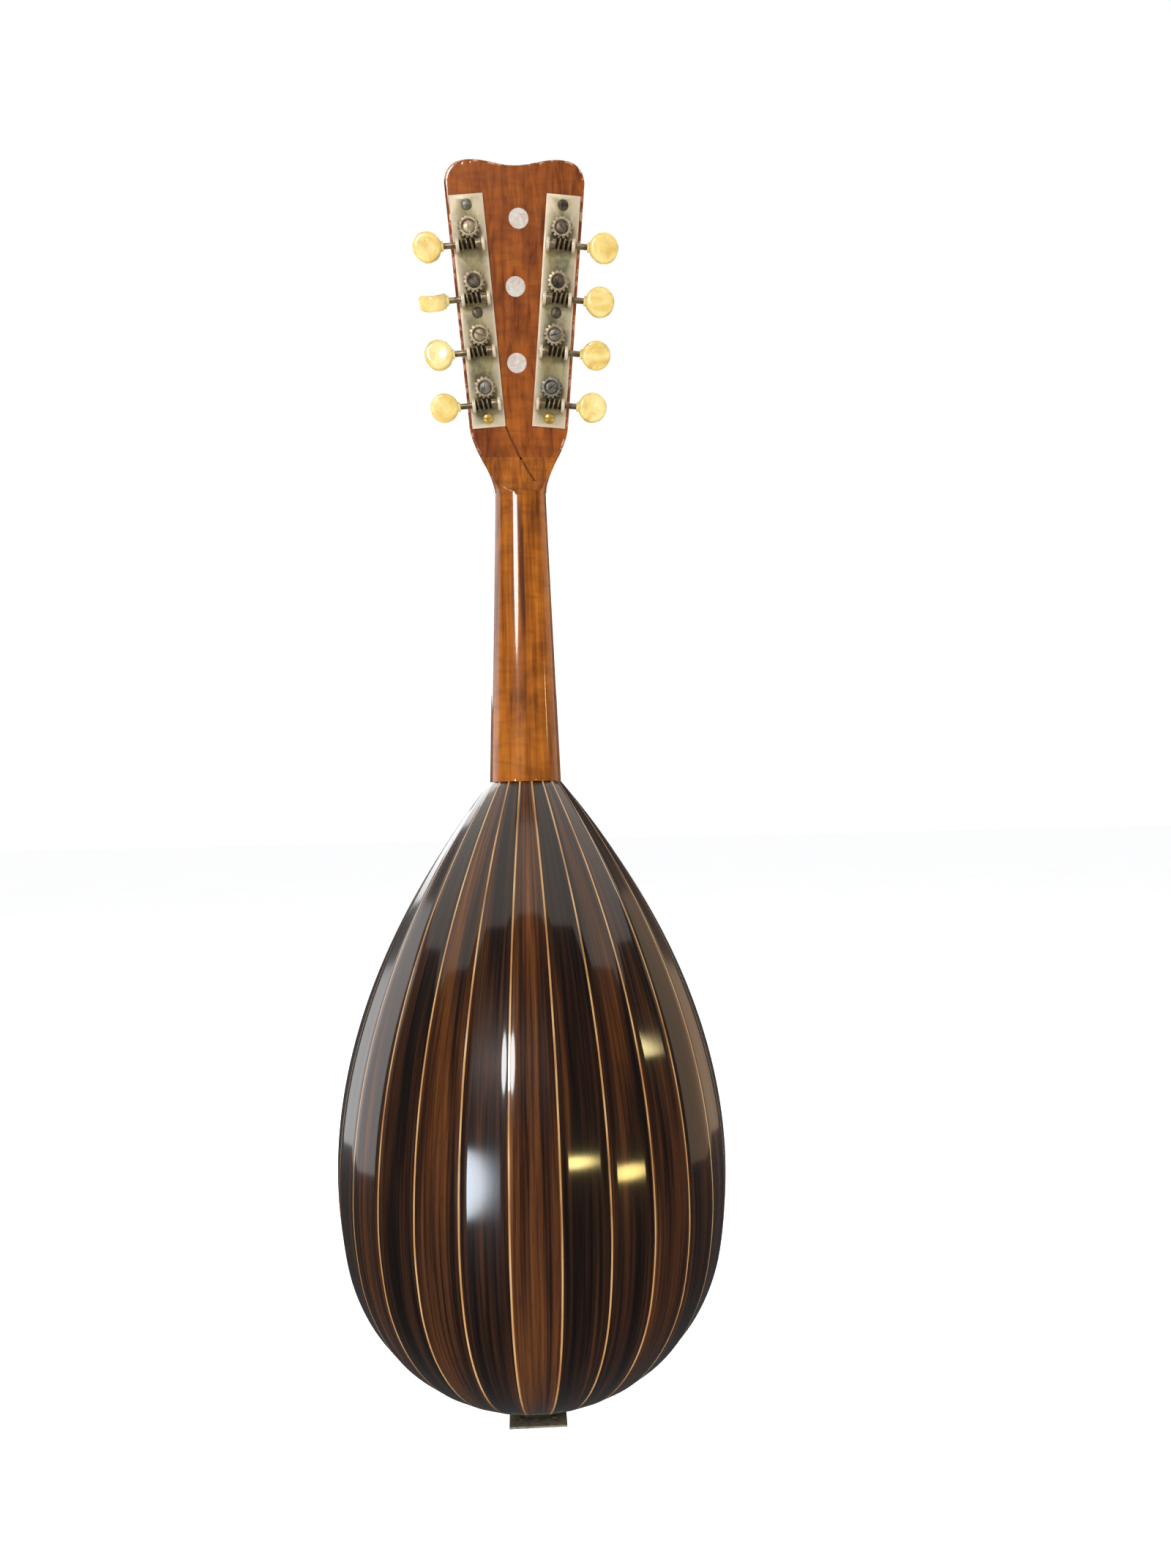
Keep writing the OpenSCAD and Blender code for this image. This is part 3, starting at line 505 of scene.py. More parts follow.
def head_edge(a):
    """The outline at the fraction a, from the middle of the top down the +X side to the low end."""
    low, corner_s = NECK_UP, LENGTH - CORNER - 0.6
    cx = head_half(corner_s) - CORNER
    if a < 0.30:
        x = cx * a / 0.30
        return x, LENGTH - 1.3 * (1 + math.cos(math.pi * min(x / 20.6, 1.16)))
    if a < 0.55:
        turn = math.pi / 2 * (0.55 - a) / 0.25
        return cx + CORNER * math.cos(turn), corner_s + (CORNER + 0.25) * math.sin(turn)
    s = corner_s + (low - corner_s) * (a - 0.55) / 0.45
    return head_half(s), s

def chipped(x, s, h):
    """Wears the outline back a little where the varnish has chipped, mostly at the low left."""
    bite = noise.noise(Vector((x, s, h)) * 0.35) - 0.28
    deep = 1.6 if x > 0 and s < 60 else 1.0
    return max(bite, 0) * deep * (0.9 if h > HEAD_T - 1 else 0.2)

STEPS = 150
deselect()
bpy.ops.mesh.primitive_circle_add(vertices=2 * STEPS, radius=1, fill_type="NGON")
headstock = bpy.context.object
headstock.name = headstock.data.name = "headstock_wood"
for i, v in enumerate(headstock.data.vertices):
    side = 1 if i < STEPS else -1
    a = ((i if side > 0 else 2 * STEPS - 1 - i) + 0.5) / (STEPS - 0.5)
    x, s = head_edge(a)
    v.co = on_head(side * x, 1.5, s) * MM
only(headstock)
bpy.ops.object.mode_set(mode="EDIT")
bpy.ops.mesh.select_all(action="SELECT")
bpy.ops.mesh.extrude_region_move(TRANSFORM_OT_translate={
    "value": [c * MM for c in on_head(0, HEAD_T, 0) - on_head(0, 1.5, 0)]})
bpy.ops.mesh.select_all(action="SELECT")
bpy.ops.mesh.normals_make_consistent(inside=False)
bpy.ops.object.mode_set(mode="OBJECT")

def of_head(co):
    """The headstock's own (x, h, s) of a point in metres."""
    x, y, z = co.x / MM, co.y / MM, co.z / MM - NUT_T
    return x, y * math.cos(TILT) - z * math.sin(TILT), y * math.sin(TILT) + z * math.cos(TILT)

for edge in headstock.data.edges:
    ends = [of_head(headstock.data.vertices[i].co) for i in edge.vertices]
    rim = all(h > HEAD_T - 0.1 for _, h, _ in ends) and not all(s < NECK_UP + 0.1 for _, _, s in ends)
    edge.select = rim
weights = headstock.data.attributes.new("bevel_weight_edge", "FLOAT", "EDGE")
weights.data.foreach_set("value", [1.0 if edge.select else 0.0 for edge in headstock.data.edges])
finished(headstock, [("BEVEL", {"width": 1.1 * MM, "segments": 3, "limit_method": "WEIGHT"})])
only(headstock)
for face in headstock.data.polygons:
    face.select = len(face.vertices) > 100 and of_head(face.center)[1] > HEAD_T - 1
bpy.ops.object.mode_set(mode="EDIT")
bpy.ops.mesh.inset(thickness=1.2 * MM, depth=0)
bpy.ops.mesh.inset(thickness=1.6 * MM, depth=0)
bpy.ops.object.mode_set(mode="OBJECT")
outline = [Vector(head_edge((i + 0.5) / 300)) for i in range(300)]
worn = headstock.data.attributes.new("worn", "FLOAT", "POINT")
for v in headstock.data.vertices:
    x, h, s = of_head(v.co)
    inside = min((Vector((abs(x), s)) - o).length for o in outline)
    near_edge = h > HEAD_T - 1.6 and inside < 1.7
    worn.data[v.index].value = (1.0 if s > 20 else 0.4) if near_edge else 0.2
    if near_edge and inside < 1.3:
        bite = chipped(x, s, h)
        v.co = on_head(x * (1 - bite / 40), h - bite * 0.7, s - (bite if s > LENGTH - 12 else 0)) * MM
only(headstock)
bpy.ops.object.shade_smooth_by_angle(angle=math.radians(50))

# An open crack runs down the low end of the headstock's back, on towards the neck.
def cut_by(piece, cutter, smooth):
    """Takes the cutter's shape out of the piece."""
    cut = {"object": cutter, "operation": "DIFFERENCE", "solver": "EXACT"}
    finished(piece, [("BOOLEAN", cut)], smooth)

crack_path = [(6.5, 32), (4.5, 27), (2, 22), (0.5, 18.5), (-1.6, 15), (-4.6, 9.5), (-7.5, 5.5)]
for (x0, s0), (x1, s1) in zip(crack_path, crack_path[1:]):
    deselect()
    bpy.ops.mesh.primitive_cube_add(size=1)
    blade = bpy.context.object
    run = Vector((x1 - x0, s1 - s0))
    across = Vector((-run.y, run.x)).normalized()
    for v in blade.data.vertices:
        at = 0.5 + v.co.x * 1.06
        thin = 0.60 + 0.50 * math.sin(math.pi * min(max((s0 + (s1 - s0) * at) / 36, 0), 1))
        x, s = x0 + run.x * at + across.x * thin * v.co.y, s0 + run.y * at + across.y * thin * v.co.y
        v.co = on_head(x, HEAD_T + (1 if v.co.z > 0 else -1.6), s) * MM
    only(blade)
    bpy.ops.object.mode_set(mode="EDIT")
    bpy.ops.mesh.select_all(action="SELECT")
    bpy.ops.mesh.normals_make_consistent(inside=False)
    bpy.ops.object.mode_set(mode="OBJECT")
    for cracked in (headstock, neck):
        cut_by(cracked, blade, 50)
    bpy.data.objects.remove(blade)

head_wood = amber_wood("headstock_wood", (0.350, 0.092, 0.008), (0.220, 0.052, 0.006),
                       (0.070, 0.016, 0.004), 0.8)
headstock.data.materials.append(head_wood)
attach(headstock, "body")
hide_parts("headstock")

# ---------- headstock veneer and pearl discs ----------
# The front of the headstock is faced with dark veneer. Three discs of mother of pearl are
# let into its back, flush with the varnish.
def refined(node, name, width, angle=35, smooth=35):
    """A copy of a CAD node, its flat faces whole again and its edges rounded."""
    piece = frame["nodes"][node].copy()
    piece.data = frame["nodes"][node].data.copy()
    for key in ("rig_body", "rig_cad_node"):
        if key in piece:
            del piece[key]
    piece.parent = None
    bpy.context.scene.collection.objects.link(piece)
    piece.name = piece.data.name = name
    piece.data.materials.clear()
    only(piece)
    bpy.ops.object.mode_set(mode="EDIT")
    bpy.ops.mesh.select_all(action="SELECT")
    bpy.ops.mesh.remove_doubles(threshold=0.000004)
    bpy.ops.mesh.dissolve_limited(angle_limit=math.radians(0.6), delimit=set())
    bpy.ops.object.mode_set(mode="OBJECT")
    finished(piece, [("BEVEL", {"width": width * MM, "segments": 2, "limit_method": "ANGLE",
                                "angle_limit": math.radians(angle)})], smooth)
    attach(piece, "body")
    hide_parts(node)
    return piece

veneer = refined("headstock_veneer", "headstock_facing", 0.4)
painted(veneer, "worn", 0.1)
facing = amber_wood("facing_wood", (0.085, 0.026, 0.012), (0.040, 0.013, 0.008), (0.012, 0.005, 0.004), 1.4)
veneer.data.materials.append(facing)

pearl = new_material("mother_of_pearl", roughness=0.22, coat_weight=0.8, coat_roughness=0.05)
sea = object_place(pearl)
layers = speckle(pearl, sea, 190.0, (1, 1, 1.6), 4.0, 0.6, 1.4)
cells = speckle(pearl, sea, 900.0, detail=2.0)
surface(pearl, base_color=blend(
    pearl, between(pearl, cells, 0.5, 0.75, 0, 0.35),
    stops(pearl, layers, (0.30, (0.42, 0.33, 0.29)), (0.45, (0.54, 0.45, 0.40)), (0.58, (0.52, 0.50, 0.46)),
          (0.72, (0.66, 0.57, 0.51))), (0.40, 0.33, 0.29)),
    roughness=between(pearl, layers, 0.3, 0.7, 0.15, 0.35))
relief(pearl, layers, 0.12)

discs = []
for x, s in ((-1.7, 130), (0.4, 98.5), (0.4, 62.5)):
    def disc_place(a, b, x=x, s=s):
        r = 5.0 * min(b / 0.92, 1)
        turn = 2 * math.pi * a
        h = HEAD_T + 0.07 - (0.25 * (b - 0.92) / 0.08 if b > 0.92 else 0)
        return on_head(x + r * math.cos(turn), h, s + r * math.sin(turn))
    discs.append(tube(f"disc_{s}", 40, 8, disc_place))
pearl_discs = joined(discs, "pearl_discs")
only(pearl_discs)
bpy.ops.object.shade_smooth_by_angle(angle=math.radians(40))
pearl_discs.data.materials.append(pearl)
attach(pearl_discs, "body")
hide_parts("headstock_dots")

# ---------- tuner plates ----------
# Two stamped plates of nickel silver, gone yellow-green, each with four pairs of lugs that
# carry the worms. Dirt lies round the lugs, and a painted highlight lightens the outer edges and the lug
# tops.
PITCH, GAP, PLATE_T = 25.0, 8.0, 1.2
WORM_Y = 3.4

def tuner_v(n):
    return (1.5 - (n - 1) % 4) * PITCH + 1.4

def strip_frame(right):
    """Turns millimetres on a plate's underside into metres in the instrument's frame."""
    return (Matrix.Scale(MM, 4) @ Matrix.Translation((0, 0, NUT_T)) @ Matrix.Rotation(-TILT, 4, "X")
            @ Matrix.Diagonal((-1 if right else 1, 1, 1, 1)) @ Matrix.Translation((19.4, HEAD_T, 86))
            @ Matrix.Rotation(LEAN, 4, "Y"))

def tuner_frame(n):
    return strip_frame(n > 4) @ Matrix.Translation((0, PLATE_T, tuner_v(n)))

def placed(piece, name, matrix, body, node, slot):
    """A copy of a piece that was modelled in millimetres on a tuner, moved to its own tuner."""
    copy = bpy.data.objects.new(name, piece.data.copy())
    bpy.context.scene.collection.objects.link(copy)
    copy.data.name = name
    copy.data.transform(matrix)
    if matrix.determinant() < 0:
        copy.data.flip_normals()
    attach(copy, body)
    if node:
        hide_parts(node)
    return copy

patina = new_material("plate_patina", roughness=0.5, metallic=0.3)
metal_place = object_place(patina)
cloud = speckle(patina, metal_place, 110.0, detail=5.0, roughness=0.62)
fine = speckle(patina, metal_place, 900.0, detail=3.0)
colour = stops(patina, cloud, (0.30, (0.170, 0.140, 0.060)), (0.44, (0.350, 0.285, 0.125)),
               (0.56, (0.450, 0.370, 0.175)), (0.72, (0.560, 0.460, 0.250)))
dirt = add_node(patina, "Attribute", {}, attribute_name="dirt").outputs["Fac"]
grime = between(patina, times(patina, dirt, between(patina, cloud, 0.30, 0.62)), 0.25, 0.75, 0, 0.8)
colour = blend(patina, grime, colour, (0.055, 0.060, 0.035))
colour = blend(patina, between(patina, fine, 0.58, 0.70, 0, 0.45), colour, (0.120, 0.090, 0.050))
# Painted highlight: a pale colour blended over the plate's outer edges and the tops of its lugs.
bright = add_node(patina, "Attribute", {}, attribute_name="rubbed").outputs["Fac"]
colour = blend(patina, times(patina, bright, 0.8), colour, (0.720, 0.600, 0.470))
surface(patina, base_color=colour, roughness=between(patina, cloud, 0.3, 0.7, 0.60, 0.36))
relief(patina, times(patina, fine, times(patina, cloud, 1.5), "ADD"), 0.16, 0.0003)

for right, node in ((False, "tuner_plate_left"), (True, "tuner_plate_right")):
    plate = refined(node, "plate_right" if right else "plate_left", 0.22, angle=40)
    back = strip_frame(right).inverted()
    soiled = plate.data.attributes.new("dirt", "FLOAT", "POINT")
    rubbed = plate.data.attributes.new("rubbed", "FLOAT", "POINT")
    for v in plate.data.vertices:
        x, y, z = back @ v.co
        soiled.data[v.index].value = 0.8 if 1.0 < y < 2.6 and abs(x) < 7.4 else 0.2
        # Painted highlight mask: grows towards the plate's outer edges and up the lugs.
        rubbed.data[v.index].value = min(max(abs(x) - 6.6, 0) * 0.9 + max(y - 4.2, 0) * 0.25, 1)
    plate.data.materials.append(patina)

# ---------- worms ----------
# A brass shaft for each tuner: a coarse thread on the half by the button, a plain collar on
# the other, turned in one piece. The thread's grooves are black with old grease.
TOOTH = 2 * math.pi * 5.1 / 14

def worm_place(a, b):
    x = -7.3 + 28.0 * b
    turn = 2 * math.pi * a
    if x > 5.35 or x < -5.35:
        r = 1.45
    elif x < -2.5:
        r = 2.62 - 0.5 * max(abs(x + 3.9) - 1.2, 0)
    else:
        crest = math.pi + 2 * math.pi * x / TOOTH
        r = 1.95 + 1.22 * ((1 + math.cos(turn - crest)) / 2) ** 1.6
        r = min(r, 1.5 + (5.35 - x) * 3)
    return x, r * math.sin(turn), -r * math.cos(turn)

worm = tube("worm", 28, 190, worm_place)
depth_mark = worm.data.attributes.new("groove", "FLOAT", "POINT")
for v in worm.data.vertices:
    v.co /= MM
    r = math.hypot(v.co.y, v.co.z)
    depth_mark.data[v.index].value = min(max((2.75 - r) / 0.7, 0), 1) if -2.5 < v.co.x < 5.3 else 0.15
    v.co.y, v.co.z = v.co.y + WORM_Y, v.co.z - GAP
only(worm)
bpy.ops.object.shade_smooth_by_angle(angle=math.radians(50))
worm_metal = new_material("worm_metal", roughness=0.32, metallic=0.85)
groove = add_node(worm_metal, "Attribute", {}, attribute_name="groove").outputs["Fac"]
wear = speckle(worm_metal, object_place(worm_metal), 420.0, detail=3.0)
surface(worm_metal, base_color=blend(
    worm_metal, groove,
    stops(worm_metal, wear, (0.35, (0.250, 0.170, 0.080)), (0.65, (0.620, 0.500, 0.330))),
    (0.018, 0.014, 0.009)), roughness=between(worm_metal, groove, 0, 1, 0.28, 0.6))
relief(worm_metal, wear, 0.15, 0.0002)
worm.data.materials.append(worm_metal)

# ---------- gear wheels ----------
# A toothed brass wheel on the square end of each post, bevelled all round, with a countersink
# in its face where a slotted screw holds it. Some wheels are tan, some nearly black.
def along_path(path, b):
    """The pair of measures at the fraction b of a path of straight steps, one step to each point."""
    i = b * (len(path) - 1)
    k = min(int(i + 1e-6), len(path) - 2)
    return [start + (end - start) * (i - k) for start, end in zip(path[k], path[k + 1])]

def gear_place(a, b):
    turn = 2 * math.pi * a - math.pi / 2
    phase = abs((a * 14) % 1 - 0.5) * 2
    tip = 4.45 + 1.0 * min(max((0.70 - phase) / 0.24, 0), 1)
    path = ((0.0, 3.05), (3.28, 3.05), (3.34, 3.25), (3.40, 4.55), (3.62, 4.84), (4.25, 4.88),
            (tip - 0.12, 4.88 - 0.45 * (tip > 4.6)), (tip, 4.55 - 0.35 * (tip > 4.6)), (tip, 2.1),
            (tip - 0.2, 1.92), (3.9, 1.90), (3.8, 0.15), (0.0, 0.15))
    r, y = along_path(path, b)
    return r * math.cos(turn), y, r * math.sin(turn)

gear = tube("gear", 112, 12, gear_place)
for v in gear.data.vertices:
    v.co /= MM
only(gear)
bpy.ops.object.shade_smooth_by_angle(angle=math.radians(32))

def turned_screw(name, head_r, head_h, slots, slot_w=0.62, slot_d=0.75, shank=1.5):
    """A domed screw head with one slot, or a cross, standing on the plane Y = 0."""
    def place(a, b):
        turn = 2 * math.pi * a
        if b < 0.5:
            t = b / 0.5
            r = head_r * math.sin(t * math.pi / 2)
            rim = 0.35 * head_h * max(t - 0.85, 0) / 0.15
            y = head_h * (0.35 + 0.65 * math.cos(t * math.pi / 2)) - rim
            return r * math.cos(turn), y, r * math.sin(turn)
        t = (b - 0.5) / 0.5
        r = head_r if t < 0.2 else shank
        return r * math.cos(turn), -0.05 if t < 0.5 else -0.6 * (t - 0.5) - 0.05, r * math.sin(turn)
    head = tube(name, 40, 20, place)
    for v in head.data.vertices:
        v.co /= MM
    for turn in slots:
        deselect()
        bpy.ops.mesh.primitive_cube_add(size=1, location=(0, head_h, 0),
                                        rotation=(0, math.radians(turn), 0),
                                        scale=(slot_w, slot_d * 2, head_r * 3))
        bpy.ops.object.transform_apply()
        cutter = bpy.context.object
        cut_by(head, cutter, 38)
        bpy.data.objects.remove(cutter)
    return head

gear_screw = turned_screw("gear_screw", 3.0, 1.0, (0,), slot_w=0.7)

def gear_metal(name, light, dark, dull):
    made = new_material(name, roughness=dull, metallic=0.6)
    place = object_place(made)
    wear = speckle(made, place, 330.0, detail=4.0)
    surface(made, base_color=stops(made, wear, (0.34, dark), (0.62, light)),
            roughness=between(made, wear, 0.3, 0.7, dull + 0.12, dull - 0.08))
    relief(made, wear, 0.2, 0.0003)
    return made

tan_brass = gear_metal("tan_brass", (0.520, 0.420, 0.280), (0.240, 0.185, 0.110), 0.42)
dark_bronze = gear_metal("dark_bronze", (0.170, 0.130, 0.090), (0.040, 0.032, 0.024), 0.5)
old_steel = gear_metal("old_steel", (0.330, 0.300, 0.250), (0.090, 0.078, 0.060), 0.4)
gilt = gear_metal("gilt_brass", (0.850, 0.560, 0.130), (0.480, 0.260, 0.050), 0.25)
wheel_metals = [tan_brass] * 7 + [old_steel]
screw_metals = [tan_brass, dark_bronze, tan_brass, old_steel,
                dark_bronze, dark_bronze, old_steel, old_steel]
gear_slots = [4, 33, 60, 2, -28, 12, 75, 48]

# ---------- buttons ----------
# Moulded celluloid knobs, yellowed like old ivory, thick discs with a rounded rim and a
# collar round the shaft. They stand edgewise or flat as the tuning left them.
def button_place(a, b):
    turn = 2 * math.pi * a
    face = ((0.0, 3.55), (3.0, 3.72), (5.0, 3.80), (6.1, 3.62), (6.8, 3.0), (7.12, 1.9), (7.2, 0.7))
    path = face + tuple((r, -y) for r, y in reversed(face))
    r, y = along_path(path, b)
    return 21 + r * math.cos(turn), y, r * math.sin(turn)

button = tube("button", 48, 26, button_place)
def collar_place(a, b):
    turn = 2 * math.pi * a
    path = ((1.55, 13.0), (2.2, 13.0), (2.5, 13.25), (2.5, 13.9), (2.3, 14.2), (3.2, 15.4))
    r, x = along_path(path, b)
    return x, r * math.cos(turn), r * math.sin(turn)
collar = tube("collar", 28, 15, collar_place)
button = joined([button, collar], "button")
for v in button.data.vertices:
    v.co /= MM
only(button)
bpy.ops.object.shade_smooth_by_angle(angle=math.radians(45))
celluloid = new_material("old_celluloid", roughness=0.22, coat_weight=0.5, coat_roughness=0.05,
                         subsurface_weight=0.25, subsurface_scale=0.003, subsurface_radius=(1.0, 0.7, 0.35))
shade = speckle(celluloid, object_place(celluloid), 70.0, detail=3.0, distortion=1.5)
spots = speckle(celluloid, object_place(celluloid), 420.0, detail=4.0)
cream = stops(celluloid, shade, (0.30, (0.56, 0.38, 0.10)), (0.50, (0.72, 0.55, 0.19)),
              (0.70, (0.80, 0.68, 0.36)))
surface(celluloid, base_color=blend(celluloid, between(celluloid, spots, 0.62, 0.74, 0, 0.6), cream,
                                    (0.40, 0.22, 0.06)))
relief(celluloid, spots, 0.06, 0.0003)
button.data.materials.append(celluloid)
button_turns = [0, 68, 8, -6, 0, 5, -10, 6]

# ---------- string posts ----------
# A nickel-plated post runs from each wheel through the headstock, with a string wound round
# its end below the hole.
def post_place(a, b):
    turn = 2 * math.pi * a
    low = -PLATE_T - HEAD_T - 14
    path = ((0.0, low), (2.0, low), (2.75, low + 0.25), (3.0, low + 0.8), (3.0, low + 4.6),
            (2.72, low + 5.2), (2.72, low + 7.4), (3.0, low + 8.0), (3.0, 0.1), (1.95, 0.15),
            (1.95, 2.8), (0.0, 2.8))
    r, y = along_path(path, b)
    return r * math.cos(turn), y, r * math.sin(turn)

post = tube("post", 32, 44, post_place)
for v in post.data.vertices:
    v.co /= MM
deselect()
bpy.ops.mesh.primitive_cylinder_add(vertices=16, radius=0.8, depth=10,
                                    location=(0, -PLATE_T - HEAD_T - 8.2, 0),
                                    rotation=(0, math.radians(90), 0))
bpy.ops.object.transform_apply()
drill = bpy.context.object
cut_by(post, drill, 40)
bpy.data.objects.remove(drill)
post_metal = gear_metal("post_metal", (0.600, 0.560, 0.450), (0.300, 0.260, 0.170), 0.3)
post.data.materials.append(post_metal)

steel_wire = new_material("steel_wire", roughness=0.3, metallic=0.9)
wire_place = object_place(steel_wire)
tarnish = speckle(steel_wire, wire_place, 160.0, (1, 1, 0.2), 3.0)
surface(steel_wire, base_color=stops(steel_wire, tarnish, (0.35, (0.36, 0.32, 0.26)),
                                     (0.65, (0.66, 0.64, 0.60))))
turns_bump = add_node(steel_wire, "TexWave", {"Vector": wire_place, "Scale": 900.0}, bands_direction="Z")
relief(steel_wire, turns_bump.outputs["Fac"], 0.35, 0.0001)

STRING_R = [0.13, 0.19, 0.31, 0.43]
WAIST_R, TURNS = 2.78, 4.5

def winding_place(a, b, r, low):
    """A string wound round the post: a thin tube along a close helix."""
    turn = 2 * math.pi * TURNS * b
    ring = 2 * math.pi * a
    out = WAIST_R + r + r * math.cos(ring)
    return out * math.cos(turn), low + (2.15 * r * TURNS) * b + r * math.sin(ring), out * math.sin(turn)

for n in range(1, 9):
    here, knob, spindle = tuner_frame(n), f"knob_{n}", f"post_{n}"
    placed(worm, f"worm_{n}", here, knob, f"worm_shaft_{n}", "gear_metal")
    turned = here @ Matrix.Translation((0, WORM_Y, -GAP)) @ Matrix.Rotation(
        math.radians(button_turns[n - 1]), 4, "X")
    placed(button, f"knob_button_{n}", turned, knob, f"button_{n}", "button")
    wheel = placed(gear, f"wheel_{n}", here, spindle, f"gear_wheel_{n}", "gear_metal")
    wheel.data.materials.append(wheel_metals[n - 1])
    head = placed(gear_screw, f"wheel_screw_{n}", here @ Matrix.Translation((0, 3.15, 0)) @ Matrix.Rotation(
        math.radians(gear_slots[n - 1]), 4, "Y"), spindle, None, "screw_metal")
    head.data.materials.append(screw_metals[n - 1])
    placed(post, f"post_{n}_shaft", here, spindle, f"string_post_{n}", "tuner_metal")
    string = next(k for k in range(8) if (k - 3 if k > 3 else 8 - k) == n)
    r = STRING_R[string // 2]
    face = -PLATE_T - HEAD_T
    low = face - (10 if n % 2 == 0 else 6.5) - r * 4.6
    coil = tube(f"winding_{n}", 6, 90, lambda a, b: winding_place(a, b, r, low))
    for v in coil.data.vertices:
        v.co = here @ (v.co / MM)
    if n > 4:
        coil.data.flip_normals()
    only(coil)
    bpy.ops.object.shade_smooth()
    coil.data.materials.append(steel_wire)
    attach(coil, spindle)
for pattern in (worm, gear, gear_screw, button, post):
    bpy.data.objects.remove(pattern)

# ---------- plate screws ----------
# Six screws hold the plates: steel slotted ones at the top and middle, and cross-slotted
# ones gone gold at the bottom, which somebody put in later.
for side in (False, True):
    for place, v in enumerate((50, 0, -50.5)):
        turn = ((8, 28, 0), (5, 0, 0))[side][place]
        slots = (turn, turn + 90) if place == 2 else (turn,)
        screw = turned_screw("plate_screw", 2.55, 1.15, slots, 0.5, 0.55, 1.0)
        made = placed(screw, f"plate_screw_{'right' if side else 'left'}_{place}",
                      strip_frame(side) @ Matrix.Translation((0, PLATE_T + 0.05, v)), "body",
                      "plate_screws", "screw_metal")
        made.data.materials.append((old_steel if side == 0 else dark_bronze, dark_bronze, gilt)[place])
        bpy.data.objects.remove(screw)

# ---------- fingerboard, frets and dots ----------
# An ebony board glued to the neck and the soundboard, with drawn metal frets in sawn slots
# and pearl dots at the usual places.
ebony = new_material("ebony", roughness=0.38, coat_weight=0.15, coat_roughness=0.2)
dark_grain = speckle(ebony, object_place(ebony), 200.0, (1, 1, 0.06), 5.0, 0.6)
surface(ebony, base_color=stops(ebony, dark_grain, (0.35, (0.012, 0.009, 0.008)),
                                (0.7, (0.045, 0.032, 0.026))),
        roughness=between(ebony, dark_grain, 0.3, 0.7, 0.30, 0.48))
relief(ebony, dark_grain, 0.12, 0.0002)
refined("fingerboard", "fingerboard_wood", 0.35).data.materials.append(ebony)

fret_wire = new_material("fret_wire", roughness=0.28, metallic=1.0)
rub = speckle(fret_wire, object_place(fret_wire), 300.0, (0.2, 1, 1), 4.0)
surface(fret_wire, base_color=stops(fret_wire, rub, (0.35, (0.42, 0.38, 0.28)), (0.65, (0.70, 0.66, 0.54))),
        roughness=between(fret_wire, rub, 0.3, 0.7, 0.22, 0.42))
refined("frets", "fret_wires", 0.2).data.materials.append(fret_wire)
refined("fingerboard_dots", "board_dots", 0.08).data.materials.append(pearl)

# ---------- nut, bridge and saddle ----------
# The nut and saddle are sawn from bone. The ebony bridge stands loose on the soundboard,
# held by the strings.
bone = new_material("bone", roughness=0.4, subsurface_weight=0.15, subsurface_scale=0.002)
pores = speckle(bone, object_place(bone), 260.0, (0.25, 1, 1), 5.0)
surface(bone, base_color=stops(bone, pores, (0.32, (0.50, 0.40, 0.25)), (0.60, (0.74, 0.66, 0.50))))
relief(bone, pores, 0.08, 0.0002)
refined("nut", "nut_bone", 0.35).data.materials.append(bone)
refined("bridge", "bridge_wood", 0.5).data.materials.append(ebony)
refined("bridge_saddle", "saddle_bone", 0.25).data.materials.append(bone)
refined("post_bushings", "post_bushing_rings", 0.25).data.materials.append(bone)

# ---------- tailpiece ----------
# A pressed nickel-plated tailpiece bent over the edge, with a hook for each string, held by
# screws into the tail block.
refined("tailpiece", "tailpiece_metal", 0.25).data.materials.append(post_metal)
tail_screws = refined("tailpiece_screws", "tailpiece_screw_heads", 0.2)
tail_screws.data.materials.append(old_steel)

# ---------- soundboard, rosette, binding and pickguard ----------
# A two-piece spruce front under amber varnish, bound in ivory celluloid, with a pearl and
# ebony ring round the hole and a tortoiseshell guard let in beside it.
spruce = new_material("spruce", roughness=0.3, coat_weight=0.45, coat_roughness=0.12)
board_place = object_place(spruce)
lines = add_node(spruce, "TexWave", {"Vector": board_place, "Scale": 260.0, "Distortion": 2.2,
                                     "Detail": 3.0, "Detail Scale": 0.3}, bands_direction="X")
wander = speckle(spruce, board_place, 60.0, (1, 1, 0.05), 4.0)
flecks = speckle(spruce, board_place, 700.0, (1, 1, 0.3), 2.0)
grain_tone = blend(spruce, between(spruce, lines.outputs["Fac"], 0.55, 1.0, 0, 0.5),
                   stops(spruce, wander, (0.3, (0.40, 0.20, 0.055)), (0.7, (0.54, 0.31, 0.10))),
                   (0.36, 0.16, 0.045))
surface(spruce, base_color=blend(spruce, between(spruce, flecks, 0.60, 0.72, 0, 0.25), grain_tone,
                                 (0.30, 0.14, 0.04)))
relief(spruce, lines.outputs["Fac"], 0.06, 0.0001)
refined("soundboard", "soundboard_front", 0.25).data.materials.append(spruce)

celluloid_line = new_material("binding_celluloid", roughness=0.32, coat_weight=0.3)
drift = speckle(celluloid_line, object_place(celluloid_line), 60.0, detail=4.0)
surface(celluloid_line, base_color=stops(celluloid_line, drift, (0.3, (0.56, 0.40, 0.18)),
                                         (0.65, (0.76, 0.64, 0.40))))
refined("rim_binding", "edge_binding", 0.4).data.materials.append(celluloid_line)

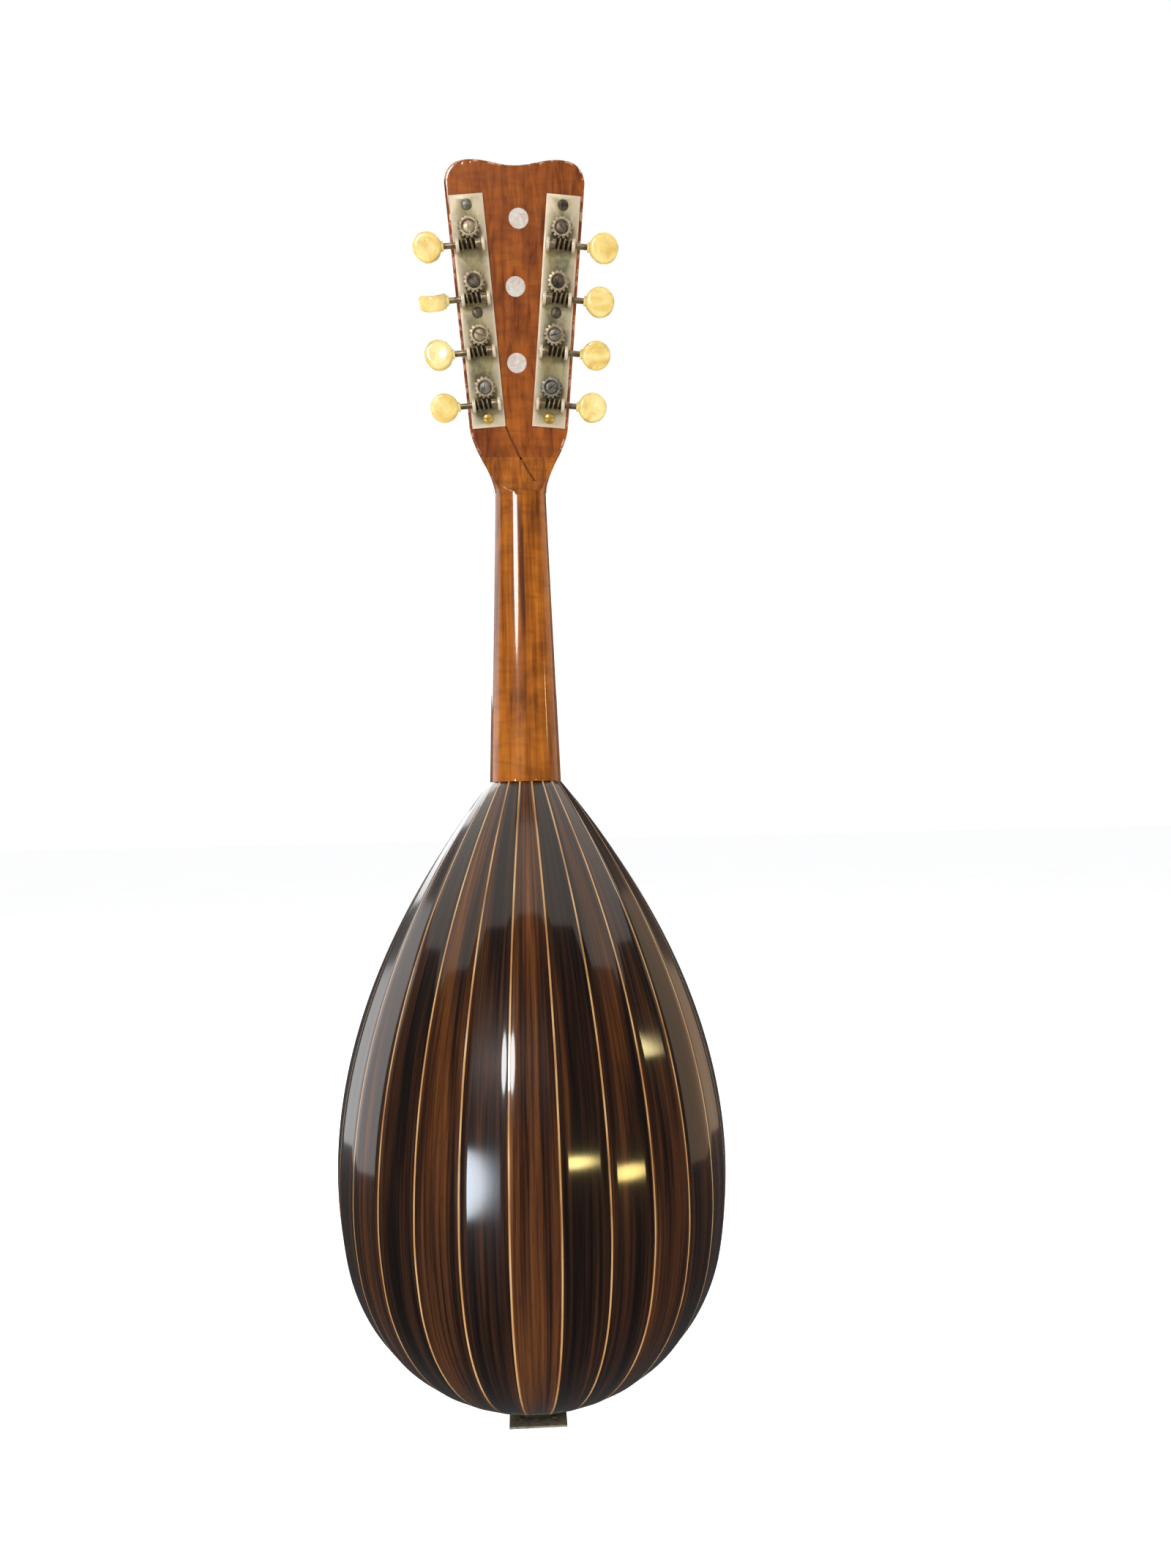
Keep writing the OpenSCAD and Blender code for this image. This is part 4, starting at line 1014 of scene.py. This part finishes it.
tiles = new_material("ring_of_pearl", roughness=0.25, coat_weight=0.6)
tile_place = object_place(tiles)
pieces = add_node(tiles, "TexVoronoi", {"Vector": tile_place, "Scale": 240.0}, feature="DISTANCE_TO_EDGE")
shine = add_node(tiles, "TexVoronoi", {"Vector": tile_place, "Scale": 240.0})
tint = stops(tiles, speckle(tiles, shine.outputs["Position"], 20.0), (0.35, (0.46, 0.44, 0.40)),
             (0.50, (0.70, 0.66, 0.62)), (0.65, (0.62, 0.72, 0.70)))
surface(tiles, base_color=blend(tiles, between(tiles, pieces.outputs["Distance"], 0.03, 0.07),
                                (0.012, 0.010, 0.009), tint))
refined("rosette", "rosette_ring", 0.1).data.materials.append(tiles)

shell = new_material("tortoiseshell", roughness=0.15, coat_weight=0.7, coat_roughness=0.04)
mottle = speckle(shell, object_place(shell), 55.0, (1, 1, 0.6), 3.0, 0.5, 1.2)
surface(shell, base_color=stops(shell, mottle, (0.40, (0.020, 0.008, 0.004)), (0.52, (0.11, 0.030, 0.008)),
                                (0.66, (0.42, 0.15, 0.028))))
refined("pickguard", "pickguard_plate", 0.15).data.materials.append(shell)

# ---------- bars, linings and blocks ----------
# Unvarnished spruce inside the bowl: three bars across the front, linings round its edge,
# and the blocks that take the neck and the tailpiece screws.
bare = new_material("bare_spruce", roughness=0.75)
bare_place = object_place(bare)
streak = speckle(bare, bare_place, 220.0, (1, 1, 0.12), 4.0)
dust = speckle(bare, bare_place, 45.0, detail=3.0)
surface(bare, base_color=blend(bare, between(bare, dust, 0.45, 0.7, 0, 0.4),
                               stops(bare, streak, (0.32, (0.38, 0.24, 0.11)), (0.66, (0.60, 0.43, 0.23))),
                               (0.26, 0.17, 0.09)))
relief(bare, streak, 0.2, 0.0003)
for node, name in (("soundboard_braces", "soundboard_bars"), ("top_linings", "edge_linings"),
                   ("neck_block", "neck_block_wood"), ("tail_block", "tail_block_wood")):
    refined(node, name, 0.4).data.materials.append(bare)

# ---------- strings ----------
# Four pairs of steel strings, the two lower pairs wound, running taut from the tailpiece
# over the saddle and nut to the posts.
stretched = refined("strings", "string_wires", 0.0001, angle=80, smooth=70)
stretched.data.materials.append(steel_wire)
